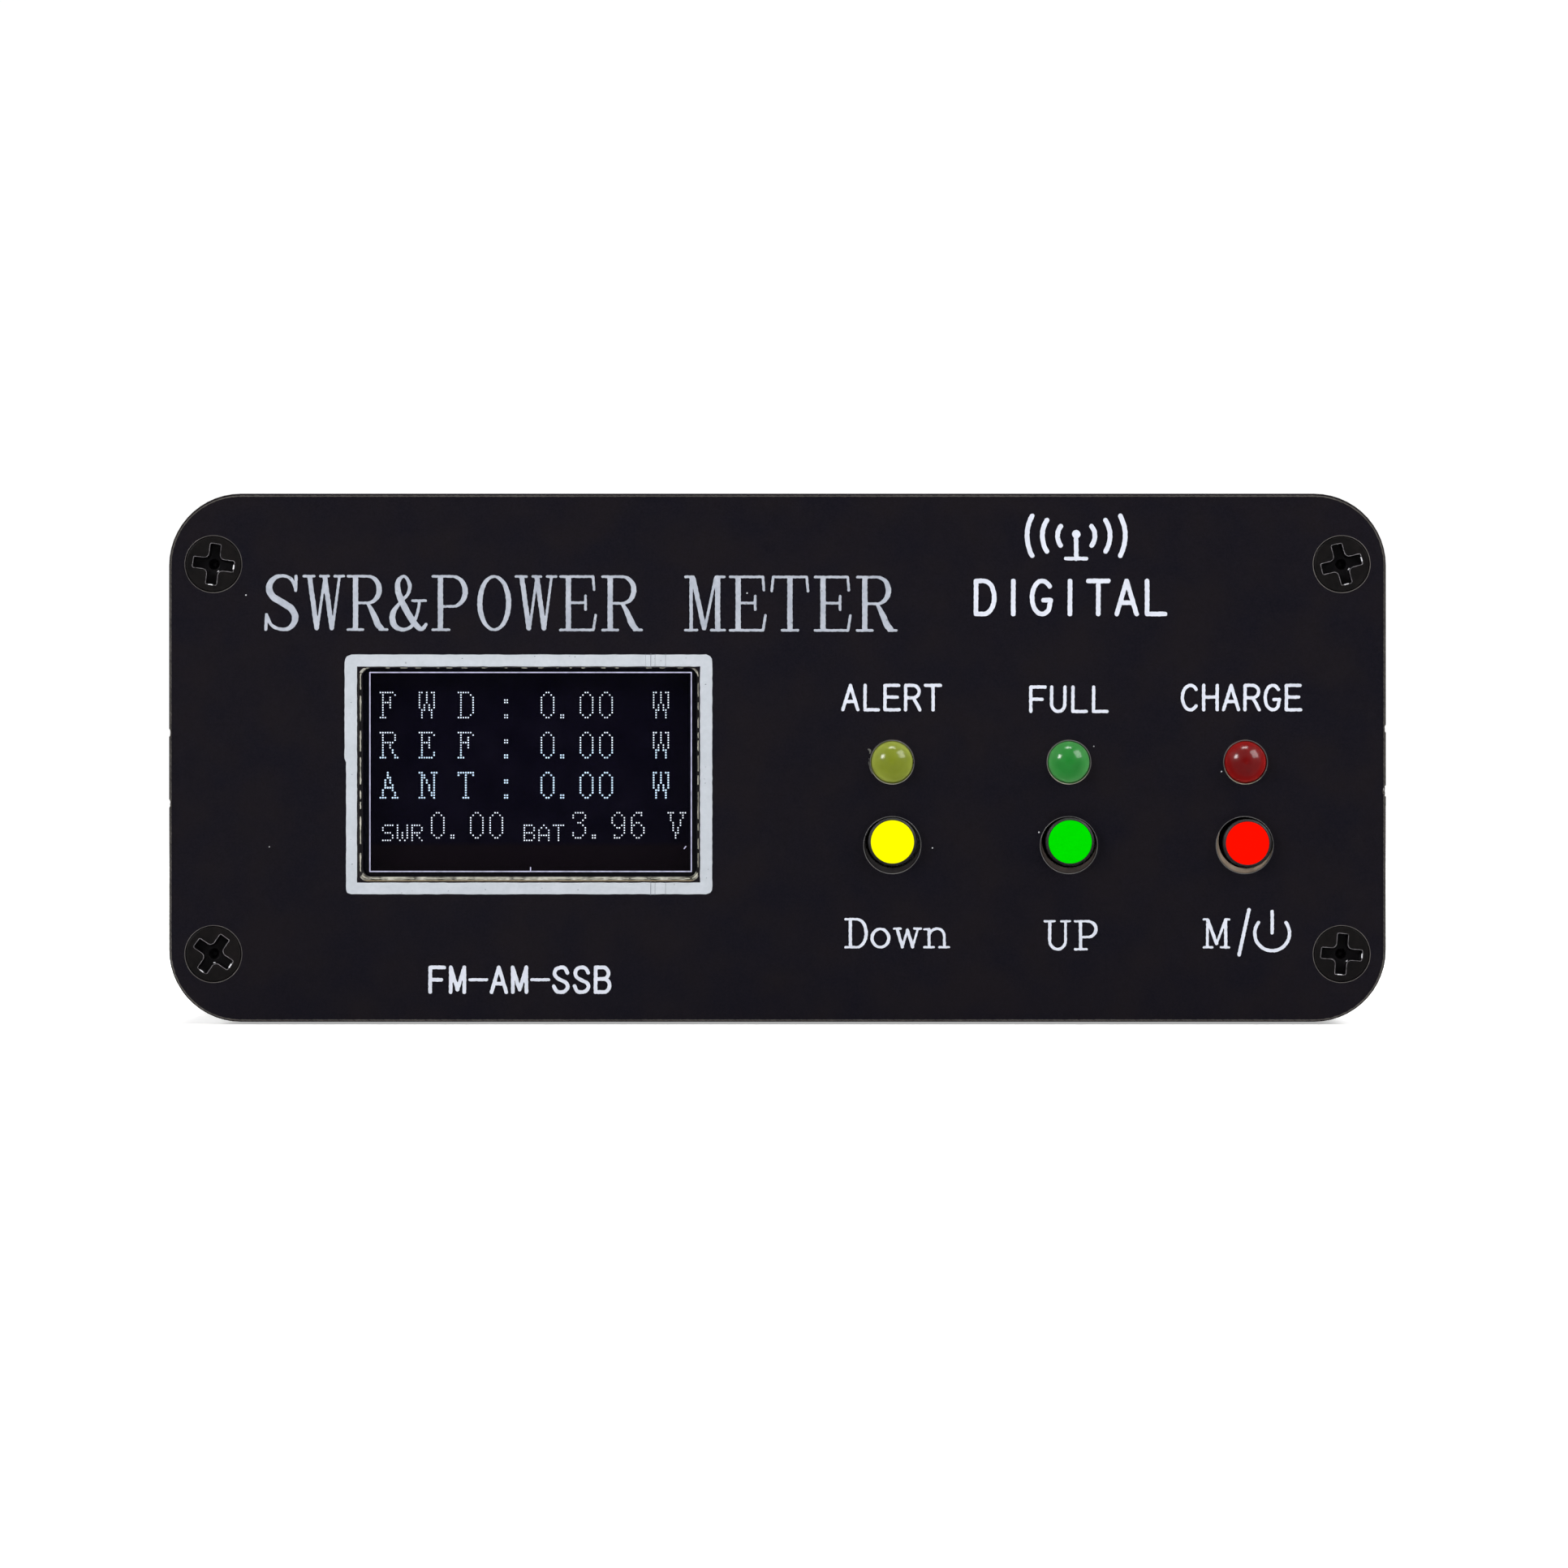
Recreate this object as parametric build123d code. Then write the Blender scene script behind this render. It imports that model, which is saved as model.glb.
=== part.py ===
"""In-line SWR and power meter in an 88 x 38 mm split aluminium case.

Two extruded half shells close on each other along the sides. A front and a rear panel of black circuit board
are screwed into the shells' corner channels. Behind the front panel stand a control board with the display,
three lamps and three push switches. A main board slides in the lower shell's slots and carries the battery,
the charging socket and the directional coupler, whose line joins the two coaxial sockets on the rear panel.

Frame: millimetres, +Z up, the front panel faces -Y, +X is to the right of someone facing the front.
The origin is the centre of the lower shell's underside.
"""

import os

from build123d import *

# Case
CASE_W = 88.0
CASE_H = 38.2
CASE_L = 100.0
CORNER_R = 5.2
WALL = 1.8
PANEL_T = 1.6
MID_Z = CASE_H / 2
FRONT_IN = -CASE_L / 2
FRONT_OUT = FRONT_IN - PANEL_T
REAR_IN = CASE_L / 2
REAR_OUT = REAR_IN + PANEL_T

# Corner screws that hold the panels
SCREW_X = 40.8
SCREW_DZ = 14.1
SCREW_MID_Z = MID_Z - 0.1
SCREW_R = 1.1
SCREW_HEAD_R = 2.0
SCREW_LEN = 8.0
CHANNEL_R = 1.14
BOSS_R = 2.9
FRONT_TURNS = {(-1, 1): -7, (1, 1): 15, (-1, -1): -34, (1, -1): -4}
REAR_TURNS = {(-1, 1): 20, (1, 1): -9, (-1, -1): 2, (1, -1): 38}
HEAD_LAND = 0.12
HEAD_SINK = 0.02
RECESS_WING, RECESS_WIDTH = 1.5, 0.8

# Seam between the half shells, and the tongue that keeps them in line
SEAM_GAP = 0.05
TONGUE_IN, TONGUE_OUT, TONGUE_H = 41.5, 43.0, 2.0
GROOVES = (4.2, 6.8, 9.4, 12.0)
GROOVE_HALF, GROOVE_DEPTH = 0.55, 0.5

# Front panel openings
WINDOW_X0, WINDOW_X1 = -30.08, -5.84
WINDOW_Z0, WINDOW_Z1 = 10.48, 25.62
WINDOW_R = 0.65
LIP_X0, LIP_X1 = -30.29, -5.67
LIP_Z0, LIP_Z1 = 10.17, 25.64
LIP_DEPTH = 0.25
LAMP_X = {"down": 8.29, "up": 21.08, "mode": 33.85}
LAMP_OF = {"down": "alert", "up": "full", "mode": "charge"}
LAMP_Z = 18.8
LAMP_R = 1.53
LAMP_HOLE_R = 1.6
KEY_HOLE_X = {"down": 8.3, "up": 21.07, "mode": 33.79}
KEY_HOLE_Z = 12.78
KEY_HOLE_R = 2.05
KEY_X = {"down": 8.3, "up": 21.13, "mode": 33.94}
KEY_Z = {"down": 13.02, "up": 13.02, "mode": 12.92}
TAB_MARKS = [(-1, 20.9, 0.1), (-1, 15.8, 0.1), (1, 21.2, 0.1), (1, 16.7, 0.22)]

# Display module, from the front
GLASS_W, GLASS_H, GLASS_T = 26.7, 19.26, 1.4
DISPLAY_X = -17.5
GLASS_TOP = 26.53
FILM_X0, FILM_X1 = -29.61, -6.27
FILM_Z0, FILM_Z1 = 10.85, 25.3
FILM_T = 0.2
FILM_FRONT = FRONT_IN + 0.2
GLASS_FRONT = FILM_FRONT + FILM_T
DISPLAY_BOARD_W, DISPLAY_BOARD_H, DISPLAY_BOARD_T = 27.3, 27.8, 1.2
DISPLAY_BOARD_FRONT = GLASS_FRONT + GLASS_T + 0.2
DISPLAY_BOARD_BACK = DISPLAY_BOARD_FRONT + DISPLAY_BOARD_T
DISPLAY_BOARD_Z0 = 4.0
FLEX_Z = DISPLAY_BOARD_Z0 + 2.6
HEADER_H = 2.5
PITCH = 2.54
PIN = 0.64
PIN_HOLE_R = 0.5

# Control board
BOARD_T = 1.6
CONTROL_FRONT = DISPLAY_BOARD_BACK + HEADER_H
CONTROL_BACK = CONTROL_FRONT + BOARD_T
CONTROL_W = 75.2
CONTROL_Z0, CONTROL_Z1 = 3.4, 34.8

# Lamps and push switches
LAMP_PROUD = 1.1
LAMP_LEN = 5.3
FLANGE_R, FLANGE_T = 1.9, 1.0
LEAD = 0.5
SWITCH_W = 6.0
SWITCH_BASE_H = 3.2
LEG_X, LEG_Z = 2.25, 3.25
WELL_FLOOR = 0.8
DOME_R, DOME_RISE, DOME_T = 2.1, 0.35, 0.08
COVER_T = 0.3
SWITCH_TALL = 8.0
STEM_R = 1.75
KEY_DISC_R = 1.56
KEY_DISC_T = 0.5
TRAVEL = 0.25

# Main board
MAIN_W = 83.6
MAIN_Z0 = 8.1
MAIN_TOP = MAIN_Z0 + BOARD_T
MAIN_Y0 = CONTROL_BACK + 1.2
MAIN_Y1 = REAR_IN - 0.3
SLOT_Z0, SLOT_Z1 = 8.0, 9.8
RIB_IN = 39.9

# Rear sockets
SOCKET_X = 24.0
THREAD_R = 15.875 / 2
FLANGE_W = 25.4
FLANGE_THICK = 2.0
BARREL_L = 12.5
FIX_PITCH = 18.2
FIX_R = 1.5
NUT_AF, NUT_H = 5.5, 2.4
WASHER_T = 0.5
CONTACT_BORE_R = 2.0
CONTACT_R = 2.8
CONTACT_FACE = 12.7
CONTACT_DEPTH = 11.0
HUB_R = 4.2
INSULATOR_R = 4.6
CUP_END = -9.0

# Directional coupler
LINE_Y = 37.5
LINE_R = 1.0
LINE_BEND = 3.0
CORE_OUT, CORE_IN, CORE_H = 6.35, 3.6, 4.9
WIRE = 0.5
TURNS = 12
PICK = (9.0, 27.0, MAIN_TOP + 8.0)

# Charging socket and battery
USB_W, USB_H, USB_L = 8.94, 3.2, 7.4
USB_Z = MAIN_TOP + 0.05 + USB_H / 2
CELL_X0, CELL_Y0 = -37.0, -32.0
CELL_W, CELL_L, CELL_H = 34.0, 50.0, 6.0
TAPE_T = 1.0
PLUG_X, PLUG_Y = 6.0, -36.0


def block(x0, x1, y0, y1, z0, z1):
    """A box between two corners."""
    middle = Pos((x0 + x1) / 2, (y0 + y1) / 2, (z0 + z1) / 2)
    return middle * Box(x1 - x0, y1 - y0, z1 - z0)


def rod(radius, start, end):
    """A cylinder between two points."""
    a, b = Vector(*start), Vector(*end)
    plane = Plane(origin=a, z_dir=b - a)
    return extrude(plane * Circle(radius), amount=(b - a).length)


def wire(points, tangents, radius):
    """A round wire along a smooth curve through points, with the direction given at each end."""
    path = Spline(*points, tangents=tangents)
    return sweep(Plane(origin=path @ 0, z_dir=path % 0) * Circle(radius), path=path)


def along_y(sketch, y0, y1):
    """A sketch drawn in x and z, extruded from y0 to y1."""
    plane = Plane(origin=(0, y1, 0), x_dir=(1, 0, 0), z_dir=(0, -1, 0))
    return extrude(plane * sketch, amount=y1 - y0)


def to_front(shape, x, y, z):
    """Turns a shape built along +Z so that it faces the front, and puts its origin at x, y, z."""
    return Pos(x, y, z) * Rot(90, 0, 0) * shape


def to_rear(shape, x, y, z):
    """Turns a shape built along +Z so that it faces the rear, and puts its origin at x, y, z."""
    return Pos(x, y, z) * Rot(-90, 0, 0) * shape


def save(name, *shapes):
    """Writes one node as a STEP file. Its solids are the separate shapes given."""
    solids = [solid for shape in shapes for solid in shape.solids()]
    export_step(Compound(label=name, children=solids), f"parts/{name}.step")


# ---------------------------------------------------------------- case


def case_ring():
    outer = RectangleRounded(CASE_W, CASE_H, CORNER_R)
    inner = RectangleRounded(CASE_W - 2 * WALL, CASE_H - 2 * WALL, CORNER_R - WALL)
    return Pos(0, MID_Z) * (outer - inner)


def rect(x0, x1, z0, z1):
    return Pos((x0 + x1) / 2, (z0 + z1) / 2) * Rectangle(x1 - x0, z1 - z0)


def half_profile(up):
    """The extrusion's section for the upper (up = 1) or lower (up = -1) shell, before the seam is cut."""
    half_h, inside = CASE_H / 2, CASE_W / 2 - WALL
    low, high = sorted((MID_Z, MID_Z + up * CASE_H))
    profile = case_ring() & rect(-CASE_W, CASE_W, low, high)
    rib_1 = MID_Z - SLOT_Z0
    rib_2 = MID_Z - SLOT_Z1
    for side in (-1, 1):
        profile += Pos(side * SCREW_X, SCREW_MID_Z + up * SCREW_DZ) * Circle(BOSS_R)
        profile += sided(side, SCREW_X, inside + 0.5, up, SCREW_DZ, half_h - WALL + 0.5)
        profile += sided(side, SCREW_X - BOSS_R, SCREW_X, up, SCREW_DZ, half_h - WALL + 0.5)
        for low, high in ((rib_1, rib_1 + 1.1), (rib_2 - 1.1, rib_2)):
            profile += sided(side, RIB_IN, inside + 0.5, up, low, high)
    profile = profile & (Pos(0, MID_Z) * RectangleRounded(CASE_W, CASE_H, CORNER_R))
    for side in (-1, 1):
        profile -= Pos(side * SCREW_X, SCREW_MID_Z + up * SCREW_DZ) * Circle(CHANNEL_R)
        profile -= sided(side, SCREW_X - BOSS_R - 1, SCREW_X, up, SCREW_DZ - 0.45, SCREW_DZ + 0.45)
        for groove in GROOVES:
            floor = CASE_W / 2 - GROOVE_DEPTH
            profile -= sided(side, floor, floor + 1.5, up, groove - GROOVE_HALF, groove + GROOVE_HALF)
    return profile


def sided(side, x0, x1, up, z0, z1):
    """A rectangle given by its distances from the section's centre, on one side and in one half."""
    xs = sorted((side * x0, side * x1))
    zs = sorted((MID_Z + up * z0, MID_Z + up * z1))
    return rect(xs[0], xs[1], zs[0], zs[1])


def lower_shell():
    profile = half_profile(-1)
    for side in (-1, 1):
        profile += sided(side, TONGUE_IN, TONGUE_OUT, 1, -2.2, TONGUE_H)
    return along_y(profile, FRONT_IN, REAR_IN)


def upper_shell():
    profile = half_profile(1)
    for side in (-1, 1):
        profile -= sided(side, TONGUE_IN - 1, TONGUE_OUT + SEAM_GAP, 1, -1, TONGUE_H + 0.1)
        profile -= sided(side, TONGUE_OUT - 1, CASE_W, 1, -1, SEAM_GAP)
    return along_y(profile, FRONT_IN, REAR_IN)


def panel_blank(y0, y1):
    return along_y(Pos(0, MID_Z) * RectangleRounded(CASE_W, CASE_H, CORNER_R), y0, y1)


def corner_points():
    return [(sx, sz, sx * SCREW_X, SCREW_MID_Z + sz * SCREW_DZ) for sx in (-1, 1) for sz in (-1, 1)]


def countersink():
    """The space a panel screw's head and shank take, along -Z from the panel's face."""
    gap = 0.05
    head = Pos(0, 0, -HEAD_LAND / 2) * Cylinder(SCREW_HEAD_R + gap, HEAD_LAND)
    depth = SCREW_HEAD_R - SCREW_R
    cone = Pos(0, 0, -HEAD_LAND - depth / 2) * Cone(SCREW_R + gap, SCREW_HEAD_R + gap, depth)
    shank = Pos(0, 0, -2) * Cylinder(SCREW_R + 2 * gap, 4)
    return head + cone + shank


def cross_recess():
    """Phillips recess, cut down -Z from a flat head: four rounded wings that taper to a point."""
    cross = Rectangle(2 * RECESS_WING, RECESS_WIDTH) + Rectangle(RECESS_WIDTH, 2 * RECESS_WING)
    inner = [v for v in cross.vertices() if Vector(v.X, v.Y).length < RECESS_WIDTH]
    cross = fillet(inner, 0.34)
    ends = [v for v in cross.vertices() if Vector(v.X, v.Y).length > RECESS_WING - 0.05]
    cross = fillet(ends, 0.12)
    pocket = extrude(cross, amount=-0.6, taper=10)
    core = Pos(0, 0, -0.6) * Cone(0.15, 0.66, 1.2)
    return pocket + core


def panel_screw(turn):
    depth = SCREW_HEAD_R - SCREW_R
    head = Pos(0, 0, -HEAD_LAND / 2) * Cylinder(SCREW_HEAD_R, HEAD_LAND)
    cone = Pos(0, 0, -HEAD_LAND - depth / 2) * Cone(SCREW_R, SCREW_HEAD_R, depth)
    shank = Pos(0, 0, -(SCREW_LEN - 0.8) / 2) * Cylinder(SCREW_R, SCREW_LEN - 0.8)
    tip = Pos(0, 0, -SCREW_LEN + 0.4) * Cone(0.4, SCREW_R, 0.8)
    screw = head + cone + shank + tip
    rim = screw.faces().sort_by(Axis.Z)[-1].edges()
    screw = fillet(rim, 0.07)
    return Rot(0, 0, turn) * (screw - cross_recess())


def rounded_opening(x0, x1, z0, z1, radius):
    return Pos((x0 + x1) / 2, (z0 + z1) / 2) * RectangleRounded(x1 - x0, z1 - z0, radius)


def window_lip():
    """The worn bevel round the window's front edge, widest along the bottom."""
    wide = rounded_opening(LIP_X0, LIP_X1, LIP_Z0, LIP_Z1, WINDOW_R)
    narrow = rounded_opening(WINDOW_X0, WINDOW_X1, WINDOW_Z0, WINDOW_Z1, WINDOW_R)
    front = Plane(origin=(0, FRONT_OUT, 0), x_dir=(1, 0, 0), z_dir=(0, -1, 0))
    behind = Plane(origin=(0, FRONT_OUT + LIP_DEPTH, 0), x_dir=(1, 0, 0), z_dir=(0, -1, 0))
    return loft([front * wide, behind * narrow])


def front_panel():
    panel = panel_blank(FRONT_OUT, FRONT_IN)
    window = rounded_opening(WINDOW_X0, WINDOW_X1, WINDOW_Z0, WINDOW_Z1, WINDOW_R)
    panel -= along_y(window, FRONT_OUT - 1, FRONT_IN + 1)
    panel -= window_lip()
    for x in LAMP_X.values():
        panel -= along_y(Pos(x, LAMP_Z) * Circle(LAMP_HOLE_R), FRONT_OUT - 1, FRONT_IN + 1)
    for x in KEY_HOLE_X.values():
        panel -= along_y(Pos(x, KEY_HOLE_Z) * Circle(KEY_HOLE_R), FRONT_OUT - 1, FRONT_IN + 1)
    for _, _, x, z in corner_points():
        panel -= to_front(countersink(), x, FRONT_OUT, z)
    bite = 0.5
    for side, z, depth in TAB_MARKS:
        notch = Pos(side * (CASE_W / 2 + bite - depth), z) * Circle(bite)
        panel -= along_y(notch, FRONT_OUT - 1, FRONT_IN + 1)
    return panel


def rear_panel():
    panel = panel_blank(REAR_IN, REAR_OUT)
    for side in (-1, 1):
        panel -= along_y(Pos(side * SOCKET_X, MID_Z) * Circle(6.2), REAR_IN - 1, REAR_OUT + 1)
        for x, z in fixing_points(side):
            panel -= along_y(Pos(x, z) * Circle(FIX_R + 0.1), REAR_IN - 1, REAR_OUT + 1)
    port = Pos(0, USB_Z) * RectangleRounded(USB_W + 0.8, USB_H + 0.8, 1.9)
    panel -= along_y(port, REAR_IN - 1, REAR_OUT + 1)
    for _, _, x, z in corner_points():
        panel -= to_rear(countersink(), x, REAR_OUT, z)
    return panel


def build_case():
    save("lower_shell", lower_shell())
    save("upper_shell", upper_shell())
    save("front_panel", front_panel())
    save("rear_panel", rear_panel())
    front, rear = [], []
    for sx, sz, x, z in corner_points():
        front.append(to_front(panel_screw(FRONT_TURNS[(sx, sz)]), x, FRONT_OUT + HEAD_SINK, z))
        rear.append(to_rear(panel_screw(REAR_TURNS[(sx, sz)]), x, REAR_OUT - HEAD_SINK, z))
    save("front_panel_screws", *front)
    save("rear_panel_screws", *rear)


# ------------------------------------------------------------- display


def header_xs(count, centre):
    return [centre + PITCH * (i - (count - 1) / 2) for i in range(count)]


DISPLAY_PINS = header_xs(4, DISPLAY_X)
DISPLAY_PIN_Z = DISPLAY_BOARD_Z0 + DISPLAY_BOARD_H - 1.5
LINK_PINS = header_xs(10, DISPLAY_X)
LINK_Z = MAIN_TOP + PITCH / 2 + 0.05
LINK_DOWN_Y = CONTROL_BACK + 4.3


def display_block(half_w, y0, y1, z0, z1):
    """A box centred on the display across the panel."""
    return block(DISPLAY_X - half_w, DISPLAY_X + half_w, y0, y1, z0, z1)


def display_board():
    """The module's own board, with four fixing holes, its pin holes and a slot for the flex."""
    z1 = DISPLAY_BOARD_Z0 + DISPLAY_BOARD_H
    board = display_block(DISPLAY_BOARD_W / 2, DISPLAY_BOARD_FRONT, DISPLAY_BOARD_BACK, DISPLAY_BOARD_Z0, z1)
    holes = [
        (DISPLAY_X + dx, z, 1.0)
        for dx in (-11.65, 11.65)
        for z in (DISPLAY_BOARD_Z0 + 1.9, z1 - 1.9)
    ]
    holes += [(x, DISPLAY_PIN_Z, PIN_HOLE_R) for x in DISPLAY_PINS]
    for x, z, radius in holes:
        board -= rod(radius, (x, DISPLAY_BOARD_FRONT - 1, z), (x, DISPLAY_BOARD_BACK + 1, z))
    slot = display_block(6.5, DISPLAY_BOARD_FRONT - 1, DISPLAY_BOARD_BACK + 1, FLEX_Z - 0.5, FLEX_Z + 0.5)
    return board - slot


def display_flex():
    """The flat cable that leaves the glass, goes through the board's slot and lies on the board's back."""
    half, thick = 6.0, 0.15
    front = GLASS_FRONT + 0.6
    back = DISPLAY_BOARD_BACK + 0.3
    bottom = FLEX_Z - 0.2
    face = display_block(half, front, front + thick, bottom, GLASS_TOP - GLASS_H - 0.05)
    through = display_block(half, front, back, bottom, bottom + thick)
    behind = display_block(half, back - thick, back, bottom, FLEX_Z + 6)
    return face + through + behind


def display_pins():
    half = PIN / 2
    y0, y1 = DISPLAY_BOARD_FRONT - 0.8, CONTROL_BACK + 1.1
    z0, z1 = DISPLAY_PIN_Z - half, DISPLAY_PIN_Z + half
    return [block(x - half, x + half, y0, y1, z0, z1) for x in DISPLAY_PINS]


def build_display():
    """The display module's pieces. Returns the pins that join it to the control board."""
    save("display_polariser", block(FILM_X0, FILM_X1, FILM_FRONT, GLASS_FRONT, FILM_Z0, FILM_Z1))
    half_w, glass_back, glass_z0 = GLASS_W / 2, GLASS_FRONT + GLASS_T, GLASS_TOP - GLASS_H
    save("display_glass", display_block(half_w, GLASS_FRONT, glass_back, glass_z0, GLASS_TOP))
    tape = display_block(half_w - 1, glass_back, DISPLAY_BOARD_FRONT, glass_z0 + 1, GLASS_TOP - 1)
    save("display_tape", tape)
    save("display_board", display_board())
    save("display_flex", display_flex())
    pins = display_pins()
    low, high = DISPLAY_PIN_Z - PITCH / 2, DISPLAY_PIN_Z + PITCH / 2
    header = display_block(2 * PITCH, DISPLAY_BOARD_BACK, CONTROL_FRONT, low, high)
    for pin in pins:
        header -= pin
    save("display_header", header)
    return pins


# ------------------------------------------- control board, lamps, keys


def switch_leg_points(key):
    return [(KEY_X[key] + dx * LEG_X, KEY_Z[key] + dz * LEG_Z) for dx in (-1, 1) for dz in (-1, 1)]


def lead_points(key):
    return [(LAMP_X[key] + dx * PITCH / 2, LAMP_Z) for dx in (-1, 1)]


def control_board():
    board = block(-CONTROL_W / 2, CONTROL_W / 2, CONTROL_FRONT, CONTROL_BACK, CONTROL_Z0, CONTROL_Z1)
    holes = [(x, DISPLAY_PIN_Z) for x in DISPLAY_PINS] + [(x, LINK_Z) for x in LINK_PINS]
    for key in KEY_X:
        holes += switch_leg_points(key) + lead_points(key)
    for x, z in holes:
        board -= rod(PIN_HOLE_R, (x, CONTROL_FRONT - 1, z), (x, CONTROL_BACK + 1, z))
    return board


def lamp():
    """A 3 mm lamp along +Z, its flange's underside at the origin."""
    straight = LAMP_LEN - FLANGE_T - LAMP_R
    body = Pos(0, 0, FLANGE_T / 2) * Cylinder(FLANGE_R, FLANGE_T)
    body -= Pos(FLANGE_R - 0.15, 0, FLANGE_T / 2) * Box(0.4, 4, FLANGE_T + 1)
    body += Pos(0, 0, FLANGE_T + straight / 2) * Cylinder(LAMP_R, straight)
    body += Pos(0, 0, FLANGE_T + straight) * Sphere(LAMP_R)
    return body


def build_lamps():
    base_y = FRONT_OUT - LAMP_PROUD + LAMP_LEN
    leads = []
    half = LEAD / 2
    for key, x in LAMP_X.items():
        save(LAMP_OF[key] + "_lamp", to_front(lamp(), x, base_y, LAMP_Z))
        for lx, lz in lead_points(key):
            leads.append(block(lx - half, lx + half, base_y, CONTROL_BACK + 0.9, lz - half, lz + half))
    save("lamp_leads", *leads)


def switch_base():
    """The moulded base of a push switch along +Z, standing on the control board at the origin."""
    base = Pos(0, 0, SWITCH_BASE_H / 2) * Box(SWITCH_W, SWITCH_W, SWITCH_BASE_H)
    base = fillet(base.edges().filter_by(Axis.Z), 0.4)
    base -= Pos(0, 0, WELL_FLOOR + SWITCH_BASE_H / 2) * Cylinder(2.3, SWITCH_BASE_H)
    for dx in (-1, 1):
        for dy in (-1, 1):
            base += Pos(dx * 2.35, dy * 2.35, SWITCH_BASE_H + 0.25) * Cylinder(0.4, 0.5)
    return base


def switch_cover():
    """The pressed metal cover, with tabs folded down two sides and holes for the base's four studs."""
    z = SWITCH_BASE_H + COVER_T / 2
    cover = Pos(0, 0, z) * Box(SWITCH_W - 0.1, SWITCH_W - 0.1, COVER_T)
    cover -= Pos(0, 0, z) * Cylinder(STEM_R + 0.08, 1)
    tab_h = 1.6
    for dx in (-1, 1):
        tab = Box(0.25, 2.6, tab_h)
        cover += Pos(dx * (SWITCH_W / 2 + 0.135), 0, SWITCH_BASE_H + COVER_T - tab_h / 2) * tab
        cover += Pos(dx * SWITCH_W / 2, 0, z) * Box(0.5, 2.6, COVER_T)
        for dy in (-1, 1):
            cover -= Pos(dx * 2.35, dy * 2.35, z) * Cylinder(0.42, 1)
    return cover


def switch_dome():
    """The snap disc: a shallow dome of spring steel in the bottom of the base's well."""
    ball_r = (DOME_R**2 + DOME_RISE**2) / (2 * DOME_RISE)
    shell = Sphere(ball_r) - Sphere(ball_r - DOME_T)
    cap = shell & (Pos(0, 0, ball_r) * Cylinder(DOME_R, 2 * DOME_RISE))
    return Pos(0, 0, WELL_FLOOR + DOME_RISE - ball_r) * cap


def switch_legs():
    legs = []
    for dx in (-1, 1):
        for dy in (-1, 1):
            x, y = dx * LEG_X, dy * LEG_Z
            down = Pos(x, y, -0.65) * Box(0.6, 0.28, 3.7)
            foot = Pos(x, y - dy * 0.19, 1.05) * Box(0.6, 0.12, 0.3)
            legs.append(down + foot)
    return legs


def plunger():
    """The black stem along +Z, with a flange that keeps it under the cover and a seat for the key's disc."""
    flange_t = 0.9
    nub_z = WELL_FLOOR + DOME_RISE + TRAVEL + 0.03
    flange_z1 = SWITCH_BASE_H - 0.02
    stem = Pos(0, 0, (flange_z1 + SWITCH_TALL) / 2) * Cylinder(STEM_R, SWITCH_TALL - flange_z1)
    top = stem.faces().sort_by(Axis.Z)[-1].edges()
    stem = chamfer(top, 0.12)
    stem += Pos(0, 0, flange_z1 - flange_t / 2) * Cylinder(2.2, flange_t)
    stem += Pos(0, 0, (nub_z + flange_z1 - flange_t) / 2) * Cylinder(0.9, flange_z1 - flange_t - nub_z)
    return stem - Pos(0, 0, SWITCH_TALL) * Cylinder(KEY_DISC_R, 2 * KEY_DISC_T - 0.1)


def key_disc():
    disc = Pos(0, 0, SWITCH_TALL + 0.05 - KEY_DISC_T / 2) * Cylinder(KEY_DISC_R, KEY_DISC_T)
    return fillet(disc.faces().sort_by(Axis.Z)[-1].edges(), 0.06)


def build_controls():
    save("control_board", control_board())
    build_lamps()
    bases, covers, domes, legs = [], [], [], []
    for key, x in KEY_X.items():
        spot = (x, CONTROL_FRONT, KEY_Z[key])
        save(key + "_plunger", to_front(plunger(), *spot))
        save(key + "_key", to_front(key_disc(), *spot))
        bases.append(to_front(switch_base(), *spot))
        covers.append(to_front(switch_cover(), *spot))
        domes.append(to_front(switch_dome(), *spot))
        legs += [to_front(leg, *spot) for leg in switch_legs()]
    save("switch_bases", *bases)
    save("switch_covers", *covers)
    save("switch_domes", *domes)
    save("switch_legs", *legs)


# ---------------------------------------------------------- main board


def main_board():
    board = block(-MAIN_W / 2, MAIN_W / 2, MAIN_Y0, MAIN_Y1, MAIN_Z0, MAIN_TOP)
    for side in (-1, 1):
        xs = sorted((side * 11.0, side * 37.2))
        board -= block(xs[0], xs[1], 44.0, MAIN_Y1 + 1, MAIN_Z0 - 1, MAIN_TOP + 1)
    for x in LINK_PINS:
        board -= rod(PIN_HOLE_R, (x, LINK_DOWN_Y, MAIN_Z0 - 1), (x, LINK_DOWN_Y, MAIN_TOP + 1))
    return board


def build_link():
    """The right-angle header that joins the control board to the main board. Returns its pins."""
    half = PIN / 2
    y0 = CONTROL_BACK + 0.05
    body = block(
        LINK_PINS[0] - PITCH / 2,
        LINK_PINS[-1] + PITCH / 2,
        y0,
        y0 + PITCH,
        LINK_Z - PITCH / 2 + 0.02,
        LINK_Z + PITCH / 2,
    )
    pins = []
    for x in LINK_PINS:
        left, right, top = x - half, x + half, LINK_Z + half
        across = block(left, right, CONTROL_FRONT - 1.2, LINK_DOWN_Y + half, LINK_Z - half, top)
        down = block(left, right, LINK_DOWN_Y - half, LINK_DOWN_Y + half, MAIN_Z0 - 1.4, top)
        pins.append(across + down)
        body -= across
    save("link_header", body)
    return pins


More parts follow.
